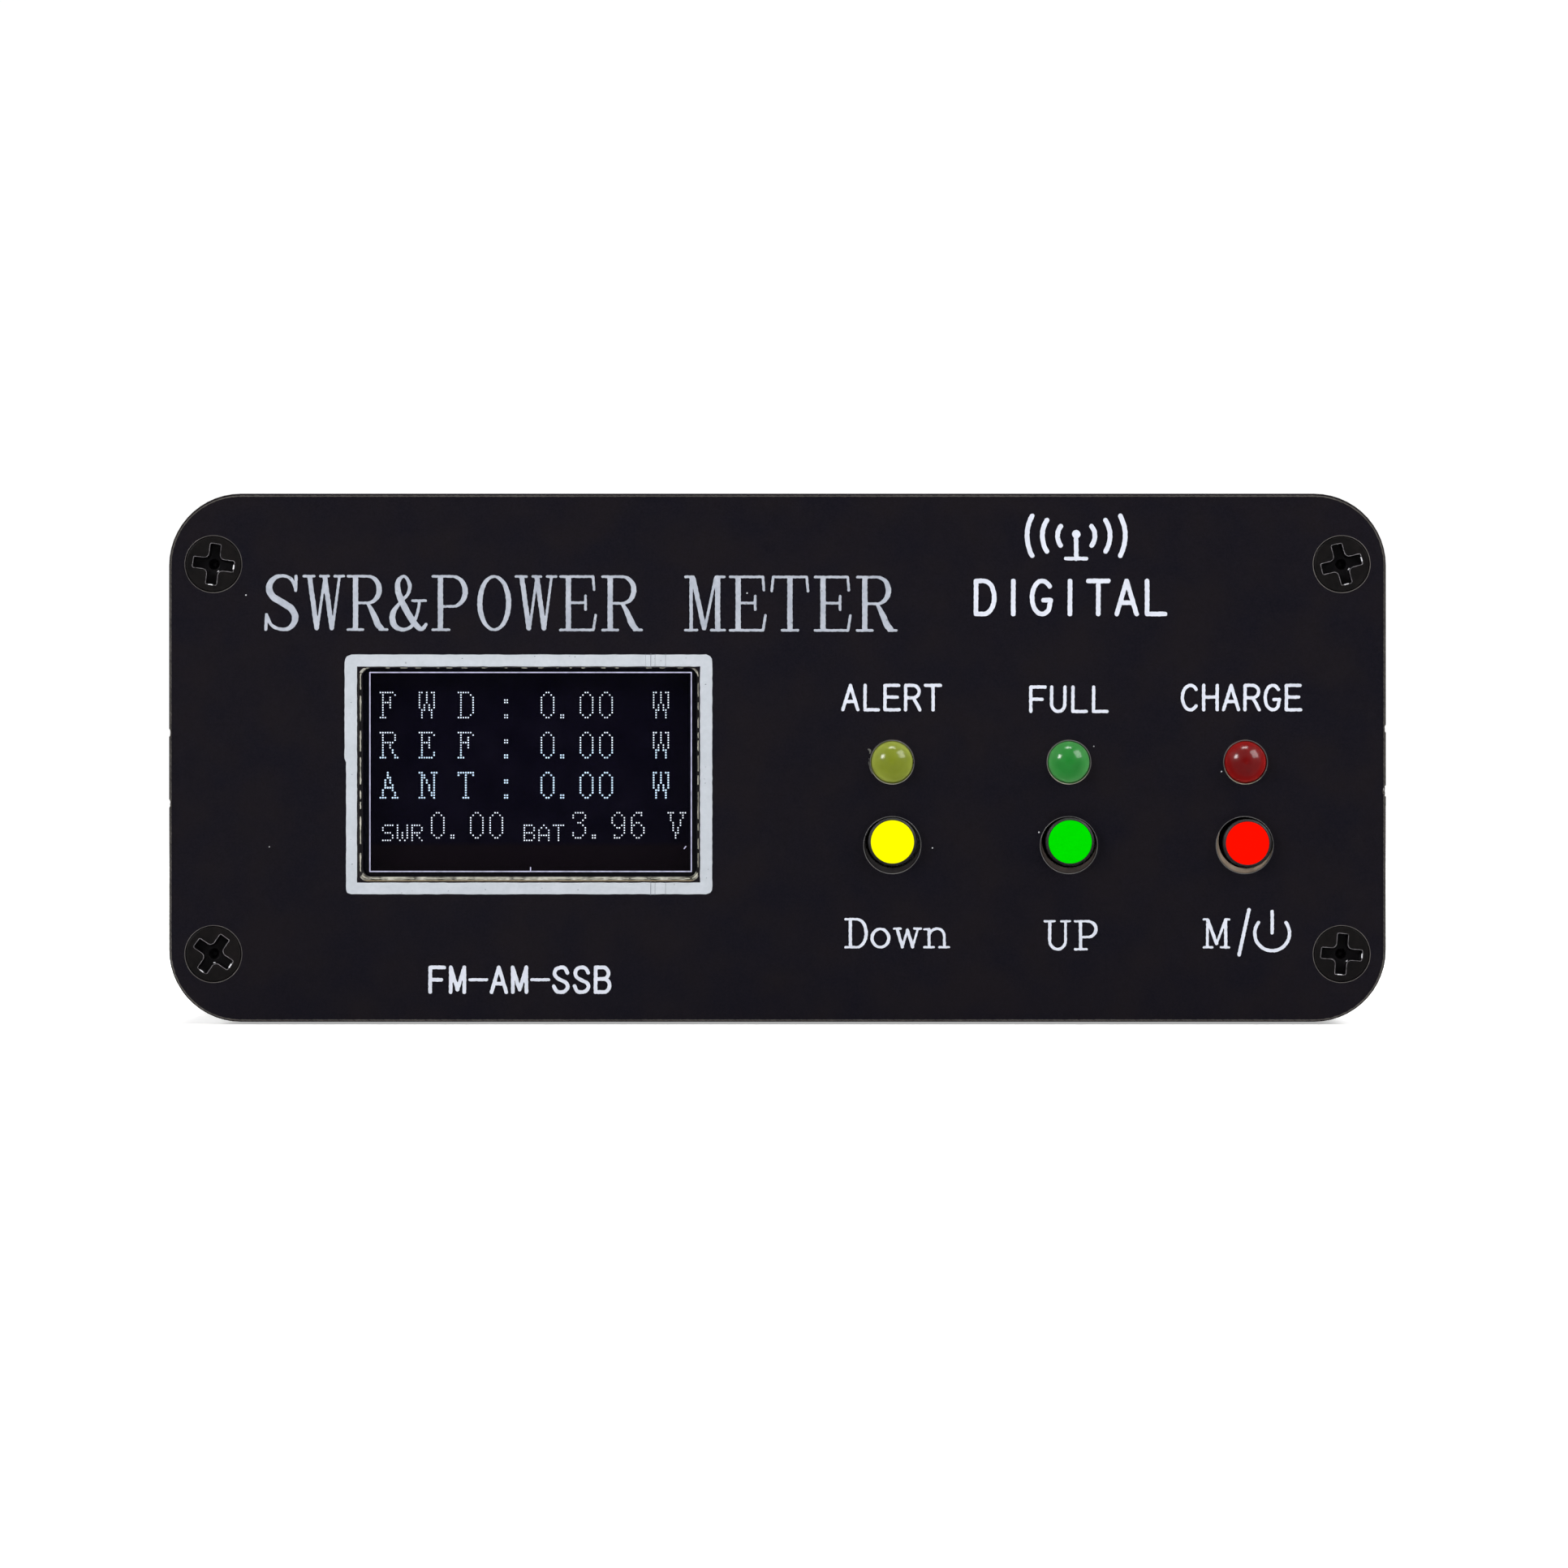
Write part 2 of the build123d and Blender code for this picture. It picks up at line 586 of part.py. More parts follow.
def gull_leg(reach, width):
    """One gull-wing chip leg that leaves the chip's side along +X and lands on the board below."""
    drop = 0.7
    return (
        Pos(0.2, 0, 0) * Box(0.4, width, 0.15)
        + Pos(0.4, 0, -drop / 2) * Box(0.15, width, drop + 0.15)
        + Pos(reach / 2 + 0.4, 0, -drop) * Box(reach, width, 0.15)
    )


def chip(x, y, w, d, h, legs_each_way, pitch, all_sides):
    """A moulded chip on the main board and its row of legs on two or four sides."""
    lift = 0.12
    body = Pos(x, y, MAIN_TOP + lift + h / 2) * Box(w, d, h)
    body = chamfer(body.faces().sort_by(Axis.Z)[-1].edges(), 0.15)
    body -= Pos(x - w / 2 + 0.9, y + d / 2 - 0.9, MAIN_TOP + lift + h) * Cylinder(0.35, 0.1)
    legs = []
    turns = (0, 90, 180, 270) if all_sides else (0, 180)
    for turn in turns:
        for i in range(legs_each_way):
            offset = pitch * (i - (legs_each_way - 1) / 2)
            leg = Pos(w / 2, offset, MAIN_TOP + 0.775) * gull_leg(0.6, pitch * 0.42)
            legs.append(Pos(x, y, 0) * Rot(0, 0, turn) * leg)
    return body, legs


def chip_part(x, y):
    return Pos(x, y, MAIN_TOP + 0.3) * Box(1.6, 0.8, 0.6)


def axial(x, y, length, radius, lead_r, span):
    """An axial part lying along X: a round body and two leads bent down to the board."""
    z = MAIN_TOP + radius + 0.3
    body = rod(radius, (x - length / 2, y, z), (x + length / 2, y, z))
    body = fillet(body.edges().filter_by(GeomType.CIRCLE), radius * 0.35)
    leads = []
    for side in (-1, 1):
        out = rod(lead_r, (x + side * length / 2, y, z), (x + side * span / 2, y, z))
        elbow = Pos(x + side * span / 2, y, z) * Sphere(lead_r)
        down = rod(lead_r, (x + side * span / 2, y, z), (x + side * span / 2, y, MAIN_TOP))
        leads.append(out + elbow + down)
    return body, leads


def build_main_board():
    save("main_board", main_board())
    controller, controller_legs = chip(20, -14, 7, 7, 1.2, 8, 0.8, True)
    charger, charger_legs = chip(-17, 27, 3.9, 4.9, 1.4, 4, 1.27, False)
    amplifier, amplifier_legs = chip(14, 6, 3.9, 4.9, 1.4, 4, 1.27, False)
    save("chips", controller, charger, amplifier)
    save("chip_legs", *controller_legs, *charger_legs, *amplifier_legs)
    can = Pos(20, -26, MAIN_TOP + 1.75) * extrude(SlotOverall(10.8, 4.4), amount=1.75, both=True)
    can = fillet(can.faces().sort_by(Axis.Z)[-1].edges(), 0.4)
    save("crystal", can)
    spots = [(8 + 3.2 * (i % 4), -2 - 2.2 * (i // 4)) for i in range(8)]
    spots += [(-23 + 3.2 * (i % 4), 33 + 2.2 * (i // 4)) for i in range(8)]
    spots += [(27, 8 + 2.4 * i) for i in range(4)]
    save("chip_parts", *[chip_part(x, y) for x, y in spots])
    can_r, can_h = 3.15, 7.7
    base = Pos(32, -4, MAIN_TOP + 0.6) * Box(6.6, 6.6, 1.2)
    base = chamfer(base.edges().filter_by(Axis.Z)[:2], 1.0)
    cylinder = Pos(32, -4, MAIN_TOP + 1.2 + can_h / 2) * Cylinder(can_r, can_h)
    save("reservoir_capacitor", fillet(cylinder.faces().sort_by(Axis.Z)[-1].edges(), 0.4))
    save("capacitor_base", base)
    resistors = [axial(30, 24 + 5 * i, 9.0, 1.65, 0.35, 13.0) for i in range(2)]
    diodes = [axial(17, 16 + 4 * i, 3.9, 0.95, 0.25, 8.0) for i in range(2)]
    save("load_resistors", *[body for body, _ in resistors])
    save("detector_diodes", *[body for body, _ in diodes])
    save("axial_leads", *[lead for _, leads in resistors + diodes for lead in leads])


def build_usb():
    y1 = REAR_OUT - 0.3
    y0 = y1 - USB_L
    outer = Pos(0, USB_Z) * RectangleRounded(USB_W, USB_H, 1.55)
    inner = Pos(0, USB_Z) * RectangleRounded(USB_W - 0.6, USB_H - 0.6, 1.25)
    shell = along_y(outer, y0, y1) - along_y(inner, y0 + 1.0, y1 + 1)
    save("usb_shell", shell)
    tongue = block(-3.35, 3.35, y0 + 1.0, y1 - 1.0, USB_Z - 0.35, USB_Z + 0.35)
    save("usb_tongue", tongue)


def build_battery():
    x1, y1 = CELL_X0 + CELL_W, CELL_Y0 + CELL_L
    z0 = MAIN_TOP + TAPE_T
    save("battery_tape", block(CELL_X0 + 3, x1 - 3, CELL_Y0 + 4, y1 - 4, MAIN_TOP, z0))
    cell = block(CELL_X0, x1, CELL_Y0, y1, z0, z0 + CELL_H)
    cell = fillet(cell.edges().filter_by(Axis.Y), 2.2)
    cell = fillet(cell.edges().filter_by(Axis.X), 0.8)
    save("battery_cell", cell)
    mid = CELL_X0 + CELL_W / 2
    guard = block(mid - 13, mid + 13, CELL_Y0 - 1.6, CELL_Y0 - 0.6, z0 + 1.2, z0 + 4.8)
    save("battery_guard_board", guard)
    build_battery_lead(mid + 8, CELL_Y0 - 1.62, z0 + 3)


def build_battery_lead(lead_x, lead_y, lead_z):
    """The socket, plug and pair of wires that run to the guard board, where they start side by side."""
    px, py = PLUG_X, PLUG_Y
    socket = block(px - 2.95, px + 2.95, py - 2.25, py + 2.25, MAIN_TOP, MAIN_TOP + 6)
    socket -= block(px - 2.35, px + 2.35, py - 1.65, py + 1.65, MAIN_TOP + 1.2, MAIN_TOP + 7)
    save("battery_socket", socket)
    top = MAIN_TOP + 7.4
    save("battery_plug", block(px - 2.25, px + 2.25, py - 1.55, py + 1.55, MAIN_TOP + 1.25, top))
    for name, dx in (("battery_red_wire", 1.1), ("battery_black_wire", -1.1)):
        start = (lead_x - dx, lead_y, lead_z)
        hump = ((lead_x + px) / 2, py, top + 2.5 + 1.4 * dx)
        end = (px + dx, py, top + 0.02)
        save(name, wire([start, hump, end], [(0, -1, 0), (0, 0, -1)], 0.6))


# -------------------------------------------------------- rear sockets


def fixing_points(side):
    half = FIX_PITCH / 2
    return [(side * SOCKET_X + dx * half, MID_Z + dz * half) for dx in (-1, 1) for dz in (-1, 1)]


def socket_shell():
    """A coaxial socket's metal body along +Z, its flange's back at the origin, with the fixing holes."""
    body = extrude(RectangleRounded(FLANGE_W, FLANGE_W, 1.2), amount=FLANGE_THICK)
    barrel_end = FLANGE_THICK + BARREL_L
    barrel = Pos(0, 0, (FLANGE_THICK + barrel_end) / 2) * Cylinder(THREAD_R, BARREL_L)
    barrel = chamfer(barrel.faces().sort_by(Axis.Z)[-1].edges(), 0.6)
    body += barrel
    body += Pos(0, 0, -1.75) * Cylinder(6.0, 3.5)
    body -= Pos(0, 0, (5.5 + barrel_end + 1) / 2) * Cylinder(6.1, barrel_end + 1 - 5.5)
    body -= Cylinder(INSULATOR_R, 30)
    half = FIX_PITCH / 2
    for dx in (-1, 1):
        for dy in (-1, 1):
            body -= Pos(dx * half, dy * half, 1) * Cylinder(FIX_R + 0.1, 4)
    return body


def socket_insulator():
    gap = 0.02
    low, shoulder, face = -5.0, 5.5, CONTACT_FACE - 0.2
    body = Pos(0, 0, (low + shoulder) / 2) * Cylinder(INSULATOR_R - gap, shoulder - low)
    body += Pos(0, 0, (shoulder + face) / 2) * Cylinder(HUB_R, face - shoulder)
    return body - Cylinder(CONTACT_R + gap, 40)


def socket_contact():
    low = -4.0
    body = Pos(0, 0, (low + CONTACT_FACE) / 2) * Cylinder(CONTACT_R, CONTACT_FACE - low)
    body = chamfer(body.faces().sort_by(Axis.Z)[-1].edges(), 0.2)
    body += Pos(0, 0, (CUP_END + low) / 2) * Cylinder(1.9, low - CUP_END)
    bore_mid = CONTACT_FACE - CONTACT_DEPTH / 2
    body -= Pos(0, 0, bore_mid + 0.5) * Cylinder(CONTACT_BORE_R, CONTACT_DEPTH + 1)
    slot_l = 7.0
    for turn in (45, 135):
        body -= Pos(0, 0, CONTACT_FACE - slot_l / 2 + 0.5) * Rot(0, 0, turn) * Box(9, 0.45, slot_l + 1)
    body -= Pos(0, 0, CUP_END + 1.75) * Cylinder(LINE_R + 0.15, 4.5)
    return body


def fixing_screw():
    """M3 pan-head screw along +Z, the underside of its head at the origin."""
    head_r, head_h, length = 2.8, 2.0, 8.0
    head = Pos(0, 0, head_h / 2) * Cylinder(head_r, head_h)
    head = fillet(head.faces().sort_by(Axis.Z)[-1].edges(), 0.9)
    shank = Pos(0, 0, -length / 2) * Cylinder(FIX_R, length)
    shank = chamfer(shank.faces().sort_by(Axis.Z)[0].edges(), 0.3)
    recess = Pos(0, 0, head_h) * scale(cross_recess(), by=1.25)
    return head + shank - recess


def nut():
    blank = extrude(RegularPolygon(NUT_AF / 2, 6, major_radius=False), amount=NUT_H)
    return blank - Cylinder(FIX_R + 0.05, 10)


def washer():
    return extrude(Circle(3.0) - Circle(FIX_R + 0.1), amount=WASHER_T)


def ground_tag(side):
    """A solder tag on a socket's lower inner screw, with a foot that stands on the main board."""
    x, z = side * (SOCKET_X - FIX_PITCH / 2), MID_Z - FIX_PITCH / 2
    ring = Pos(x, z) * Circle(3.0)
    xs = sorted((side * 8.6, side * 13.0))
    tag = ring + rect(xs[0], xs[1], MAIN_TOP, MAIN_TOP + 2.6)
    tag -= Pos(x, z) * Circle(FIX_R + 0.1)
    return along_y(tag, REAR_IN - WASHER_T, REAR_IN)


def build_sockets():
    insulators, contacts, tags = [], [], []
    for side, name in ((-1, "transmitter_socket"), (1, "antenna_socket")):
        spot = (side * SOCKET_X, REAR_OUT, MID_Z)
        save(name, to_rear(socket_shell(), *spot))
        insulators.append(to_rear(socket_insulator(), *spot))
        contacts.append(to_rear(socket_contact(), *spot))
        tags.append(ground_tag(side))
    save("socket_insulators", *insulators)
    save("socket_contacts", *contacts)
    save("ground_tags", *tags)
    build_socket_fixings()


def build_socket_fixings():
    """Screws, nuts and washers. A washer is left out where a ground tag takes its place."""
    screws, nuts, washers = [], [], []
    for side in (-1, 1):
        tag_x, tag_z = side * (SOCKET_X - FIX_PITCH / 2), MID_Z - FIX_PITCH / 2
        for i, (x, z) in enumerate(fixing_points(side)):
            turned = Rot(0, 0, 23 * i + 11 * side) * fixing_screw()
            screws.append(to_rear(turned, x, REAR_OUT + FLANGE_THICK, z))
            nuts.append(to_front(Rot(0, 0, 17 * i) * nut(), x, REAR_IN - WASHER_T, z))
            if abs(x - tag_x) > 1 or abs(z - tag_z) > 1:
                washers.append(to_front(washer(), x, REAR_IN, z))
    save("flange_screws", *screws)
    save("flange_nuts", *nuts)
    save("flange_washers", *washers)


# ------------------------------------------------- directional coupler


def line_path(half_x, y_end):
    b = LINE_BEND
    left = -half_x
    return (
        Line((left, y_end, MID_Z), (left, LINE_Y + b, MID_Z))
        + CenterArc((left + b, LINE_Y + b, MID_Z), b, 180, 90)
        + Line((left + b, LINE_Y, MID_Z), (half_x - b, LINE_Y, MID_Z))
        + CenterArc((half_x - b, LINE_Y + b, MID_Z), b, 270, 90)
        + Line((half_x, LINE_Y + b, MID_Z), (half_x, y_end, MID_Z))
    )


def core():
    ring = extrude(Circle(CORE_OUT) - Circle(CORE_IN), amount=CORE_H / 2, both=True)
    edges = [e for e in ring.edges() if e.geom_type == GeomType.CIRCLE]
    return fillet(edges, 0.4)


def winding():
    """Square-section loops of wire round the core's section, spread round two thirds of the ring."""
    gap = 0.06
    r0, r1, h = CORE_IN - gap, CORE_OUT + gap, CORE_H + 2 * gap
    loop = Box(r1 - r0 + 2 * WIRE, WIRE, h + 2 * WIRE) - Box(r1 - r0, 2 * WIRE, h)
    placed = Pos((r0 + r1) / 2, 0, 0) * loop
    step = 270 / (TURNS - 1)
    return [Rot(0, 0, 45 + step * i) * placed for i in range(TURNS)]


def main_line():
    """The bare line between the two sockets' centre contacts."""
    end = REAR_OUT + CUP_END + 3.4
    start = Plane(origin=(-SOCKET_X, end, MID_Z), z_dir=(0, -1, 0))
    return sweep(start * Circle(LINE_R), path=line_path(SOCKET_X, end))


def pick_line():
    """The thinner wire that bridges the second core and stands on the main board at both ends."""
    x, y, z = PICK
    reach, radius = 6.5, LINE_R * 0.6
    bar = rod(radius, (x - reach, y, z), (x + reach, y, z))
    for end in (x - reach, x + reach):
        bar += Pos(end, y, z) * Sphere(radius)
        bar += rod(radius, (end, y, z), (end, y, MAIN_TOP))
    return bar


def build_coupler():
    save("coupler_lines", main_line(), pick_line())
    sleeve = rod(1.9, (-17, LINE_Y, MID_Z), (17, LINE_Y, MID_Z))
    sleeve -= rod(LINE_R + 0.05, (-18, LINE_Y, MID_Z), (18, LINE_Y, MID_Z))
    save("line_sleeve", sleeve)
    across = [Pos(*spot) * Rot(0, 90, 0) for spot in ((-9.0, LINE_Y, MID_Z), PICK)]
    save("toroid_cores", *[turn * core() for turn in across])
    save("toroid_windings", *[turn * loop for turn in across for loop in winding()])


def main():
    os.makedirs("parts", exist_ok=True)
    build_case()
    build_controls()
    build_main_board()
    save("header_pins", *build_display(), *build_link())
    build_usb()
    build_battery()
    build_sockets()
    build_coupler()


main()
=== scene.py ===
"""Looks for the in-line SWR and power meter: printed legends, a lit display, tinted lamps, threaded coaxial
sockets, procedural materials, lights and the camera. Lengths below are in millimetres unless a name says
otherwise; MM turns them into the metres that Blender and the frame use.
"""

import math
import random

import bpy
import numpy as np
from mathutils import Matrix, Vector


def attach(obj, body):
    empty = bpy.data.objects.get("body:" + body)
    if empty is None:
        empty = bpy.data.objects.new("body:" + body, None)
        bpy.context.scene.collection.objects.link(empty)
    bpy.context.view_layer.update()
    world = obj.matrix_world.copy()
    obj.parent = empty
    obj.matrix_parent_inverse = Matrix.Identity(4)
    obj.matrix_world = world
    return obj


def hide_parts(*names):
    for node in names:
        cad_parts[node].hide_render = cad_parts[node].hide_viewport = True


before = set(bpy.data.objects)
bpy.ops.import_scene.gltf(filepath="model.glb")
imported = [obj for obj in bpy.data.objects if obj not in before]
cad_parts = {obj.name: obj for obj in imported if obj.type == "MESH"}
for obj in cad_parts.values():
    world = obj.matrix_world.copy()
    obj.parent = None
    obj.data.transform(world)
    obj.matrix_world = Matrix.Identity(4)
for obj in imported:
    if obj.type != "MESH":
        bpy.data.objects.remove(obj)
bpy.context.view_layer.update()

MM = 0.001
random.seed(11)

# Where things are, as in the CAD: the panels' outer faces, the display film, lamps, keys, sockets and window
FRONT, REAR, MID_Z = -51.6, 51.6, 19.1
FILM_FRONT = -49.8
LAMPS = {"alert_lamp": 8.29, "full_lamp": 21.08, "charge_lamp": 33.85}
LAMP_Z = 18.8
LAMP_HOLE_Z = LAMP_Z - 0.02
KEY_HOLES, KEY_HOLE_Z = (8.3, 21.07, 33.79), 12.78
SOCKET_X = 24.0
WINDOW_X, WINDOW_Z, WINDOW_HALF = -17.98, 18.05, (12.5, 7.8)

# The panel screws, and how far each front one's recess is turned, in degrees
SCREW_X, SCREW_MID_Z, SCREW_DZ = 40.8, MID_Z - 0.1, 14.1
SCREW_SEAT_R = 2.6
SCREW_TURNS = {(-1, 1): -7, (1, 1): 15, (-1, -1): -34, (1, -1): -4}

# How thick the ink is
INK = 0.03

# The camera looks straight along Y, level with the panel, and takes in EYE_WIDTH of it
EYE_X, EYE_Z, EYE_DISTANCE, EYE_WIDTH = 0.47, 17.2, 400.0, 113.4


# ------------------------------------------------------------------ shapes


def mesh_object(name, verts, faces, smooth=False):
    """A mesh from vertices in millimetres, riding on the meter's body."""
    mesh = bpy.data.meshes.new(name)
    mesh.from_pydata([(x * MM, y * MM, z * MM) for x, y, z in verts], [], faces)
    mesh.validate()
    mesh.update()
    obj = bpy.data.objects.new(name, mesh)
    bpy.context.scene.collection.objects.link(obj)
    for polygon in mesh.polygons:
        polygon.use_smooth = smooth
    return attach(obj, "meter")


def on_front(u, v, h):
    """A point of the front panel: u to the right, v up, h out of the face."""
    return (u, FRONT - h, v)


def on_rear(u, v, h):
    """A point of the rear panel as seen by someone behind the meter."""
    return (-u, REAR + h, v)


def on_film(u, v, h):
    """A point of the display film, which lies behind the panel, so u and v are spread a little to match."""
    spread = 1 + (FILM_FRONT - FRONT) / EYE_DISTANCE
    return (EYE_X + (u - EYE_X) * spread, FILM_FRONT - h, EYE_Z + (v - EYE_Z) * spread)


def smooth_curve(points, steps=7):
    """A Catmull-Rom curve through points, each x, y and pen radius."""
    p = np.array(points, float)
    ends = np.vstack([2 * p[0] - p[1], p, 2 * p[-1] - p[-2]])
    out = []
    for i in range(1, len(ends) - 2):
        a, b, c, d = ends[i - 1 : i + 3]
        for t in np.linspace(0, 1, steps, endpoint=False):
            out.append(
                0.5 * (2 * b + (c - a) * t + (2 * a - 5 * b + 4 * c - d) * t**2
                       + (3 * b - a - 3 * c + d) * t**3)
            )
    out.append(ends[-2])
    return [tuple(q) for q in out]


def arc(cx, cy, rx, ry, start, end, pen, steps=14):
    """An elliptical arc between two angles in degrees. pen is a radius, or a function of the angle."""
    out = []
    for a in np.radians(np.linspace(start, end, steps)):
        r = pen(a) if callable(pen) else pen
        out.append((cx + rx * math.cos(a), cy + ry * math.sin(a), r))
    return out


def line(pen, *points):
    return [(x, y, pen) for x, y in points]


def stroke_field(strokes, cell):
    """Distance from the nearest pen stroke, on a grid. Negative inside the ink."""
    pts = np.array([p for s in strokes for p in s])
    reach = pts[:, 2].max() + 3 * cell
    x0, y0 = pts[:, 0].min() - reach, pts[:, 1].min() - reach
    nx = int((pts[:, 0].max() + reach - x0) / cell) + 2
    ny = int((pts[:, 1].max() + reach - y0) / cell) + 2
    field = np.full((ny, nx), 10.0)
    for stroke in strokes:
        for (ax, ay, ar), (bx, by, br) in zip(stroke, stroke[1:]):
            pad = max(ar, br) + 3 * cell
            i0 = max(int((min(ax, bx) - pad - x0) / cell), 0)
            i1 = min(int((max(ax, bx) + pad - x0) / cell) + 2, nx)
            j0 = max(int((min(ay, by) - pad - y0) / cell), 0)
            j1 = min(int((max(ay, by) + pad - y0) / cell) + 2, ny)
            gx, gy = np.meshgrid(x0 + cell * np.arange(i0, i1), y0 + cell * np.arange(j0, j1))
            dx, dy = bx - ax, by - ay
            t = np.clip(((gx - ax) * dx + (gy - ay) * dy) / max(dx * dx + dy * dy, 1e-9), 0, 1)
            d = np.hypot(gx - ax - t * dx, gy - ay - t * dy) - (ar + t * (br - ar))
            field[j0:j1, i0:i1] = np.minimum(field[j0:j1, i0:i1], d)
    return field, x0, y0


def ink_piece(name, strokes, place, cell=0.05, thick=INK, wobble=0.012):
    """Pen strokes as one thin raised patch of ink with soft uneven edges, like silk-screen printing."""
    field, x0, y0 = stroke_field(strokes, cell)
    ny, nx = field.shape
    gx, gy = np.meshgrid(x0 + cell * np.arange(nx), y0 + cell * np.arange(ny))
    field = field + wobble * (np.sin(9.1 * gx + 5 * gy) * np.sin(7.3 * gy - 3 * gx)
                              + 0.5 * np.sin(23 * gx + 19 * gy))
    inside = field < 0
    verts, faces, index = [], [], {}

    def vertex(key, x, y, h):
        if (key, h) not in index:
            index[(key, h)] = len(verts)
            verts.append(place(x, y, h))
        return index[(key, h)]

    def corner(i, j):
        return vertex(("c", i, j), x0 + cell * i, y0 + cell * j, thick)

    def crossing(i, j, k, m, h=None):
        """Where the ink's edge crosses the grid line from corner i, j to corner k, m."""
        if (k, m) < (i, j):
            i, j, k, m = k, m, i, j
        a, b = field[j, i], field[m, k]
        t = a / (a - b)
        x, y = x0 + cell * (i + t * (k - i)), y0 + cell * (j + t * (m - j))
        return vertex(("e", i, j, k, m), x, y, thick if h is None else h)

    for j in range(ny - 1):
        run = None
        for i in range(nx - 1):
            ring = ((i, j), (i + 1, j), (i + 1, j + 1), (i, j + 1))
            signs = [inside[b, a] for a, b in ring]
            if all(signs):
                run = i if run is None else run
                continue
            if run is not None:
                faces.append([corner(run, j), corner(i, j), corner(i, j + 1), corner(run, j + 1)])
                run = None
            if not any(signs):
                continue
            top, cuts = [], []
            for n in range(4):
                a, b = ring[n], ring[(n + 1) % 4]
                if signs[n]:
                    top.append(corner(*a))
                if signs[n] != signs[(n + 1) % 4]:
                    top.append(crossing(*a, *b))
                    cuts.append((a, b, signs[n]))
            if len(top) > 2:
                faces.append(top)
            if len(cuts) == 2:
                (a, b, leaving), (c, d, _) = cuts
                if not leaving:
                    a, b, c, d = c, d, a, b
                faces.append([crossing(*a, *b, 0), crossing(*c, *d, 0), crossing(*c, *d), crossing(*a, *b)])
        if run is not None:
            faces.append([corner(run, j), corner(nx - 1, j), corner(nx - 1, j + 1), corner(run, j + 1)])
    return mesh_object(name, verts, faces)


def joined(a, b, n):
    """Faces between two rings of n vertices each, the first of them starting at vertex a, the other at b."""
    return [[a + i, a + (i + 1) % n, b + (i + 1) % n, b + i] for i in range(n)]


def band(name, outer, inner, place, thick):
    """A thin flat band between two outlines with the same number of points."""
    n = len(outer)
    verts = [place(x, y, h) for h in (thick, 0) for ring in (outer, inner) for x, y in ring]
    return mesh_object(name, verts, joined(0, n, n) + joined(2 * n, 0, n) + joined(n, 3 * n, n))


def rounded_outline(x0, x1, z0, z1, radius, steps=6):
    out = []
    corners = ((x1 - radius, z1 - radius, 0), (x0 + radius, z1 - radius, 90), (x0 + radius, z0 + radius, 180),
               (x1 - radius, z0 + radius, 270))
    for cx, cz, start in corners:
        for a in np.radians(np.linspace(start, start + 90, steps)):
            out.append((cx + radius * math.cos(a), cz + radius * math.sin(a)))
    return out


def circle_outline(cx, cz, radius, steps=72):
    return [(cx + radius * math.cos(a), cz + radius * math.sin(a))
            for a in np.linspace(0, 2 * math.pi, steps, False)]


def edge_rings(name, spots, place, height=0.02):
    """Thin bright rims where the coating ends round holes, painted lighter as the highlight these edges
    catch. Each spot is x, z, inner and outer radius.
    """
    verts, faces, n = [], [], 72
    for cx, cz, inner, outer in spots:
        base = len(verts)
        for radius, h in ((outer, 0), ((inner + outer) / 2, height), (inner, 0)):
            verts += [place(x, z, h) for x, z in circle_outline(cx, cz, radius, n)]
        faces += joined(base, base + n, n) + joined(base + n, base + 2 * n, n)
    return mesh_object(name, verts, faces, True)


# ----------------------------------------------------------------- lettering

THICK, THIN = 0.046, 0.0225


def side_heavy(angle):
    """Pen radius for round letters: heavy at the sides, light at the top and bottom."""
    return THIN + (THICK - THIN) * abs(math.cos(angle)) ** 1.4


def bowl(cx, top, bottom, rx):
    """The round part of letters such as P and R, from the top to the bottom."""
    return arc(cx, (top + bottom) / 2, rx, (top - bottom) / 2, 90, -90, side_heavy)


def bars(pen, *ends):
    """Straight strokes of one pen, each from x, y to x, y."""
    return [line(pen, (x, y), (u, v)) for x, y, u, v in ends]


def stem(*xs):
    return bars(THICK, *((x, 0.07, x, 0.93) for x in xs))


def feet(*spans):
    return bars(THIN, *((x, 0.03, u, 0.03) for x, u in spans))


def heads(*spans):
    return bars(THIN, *((x, 0.97, u, 0.97) for x, u in spans))


SLANT = THICK * 0.9

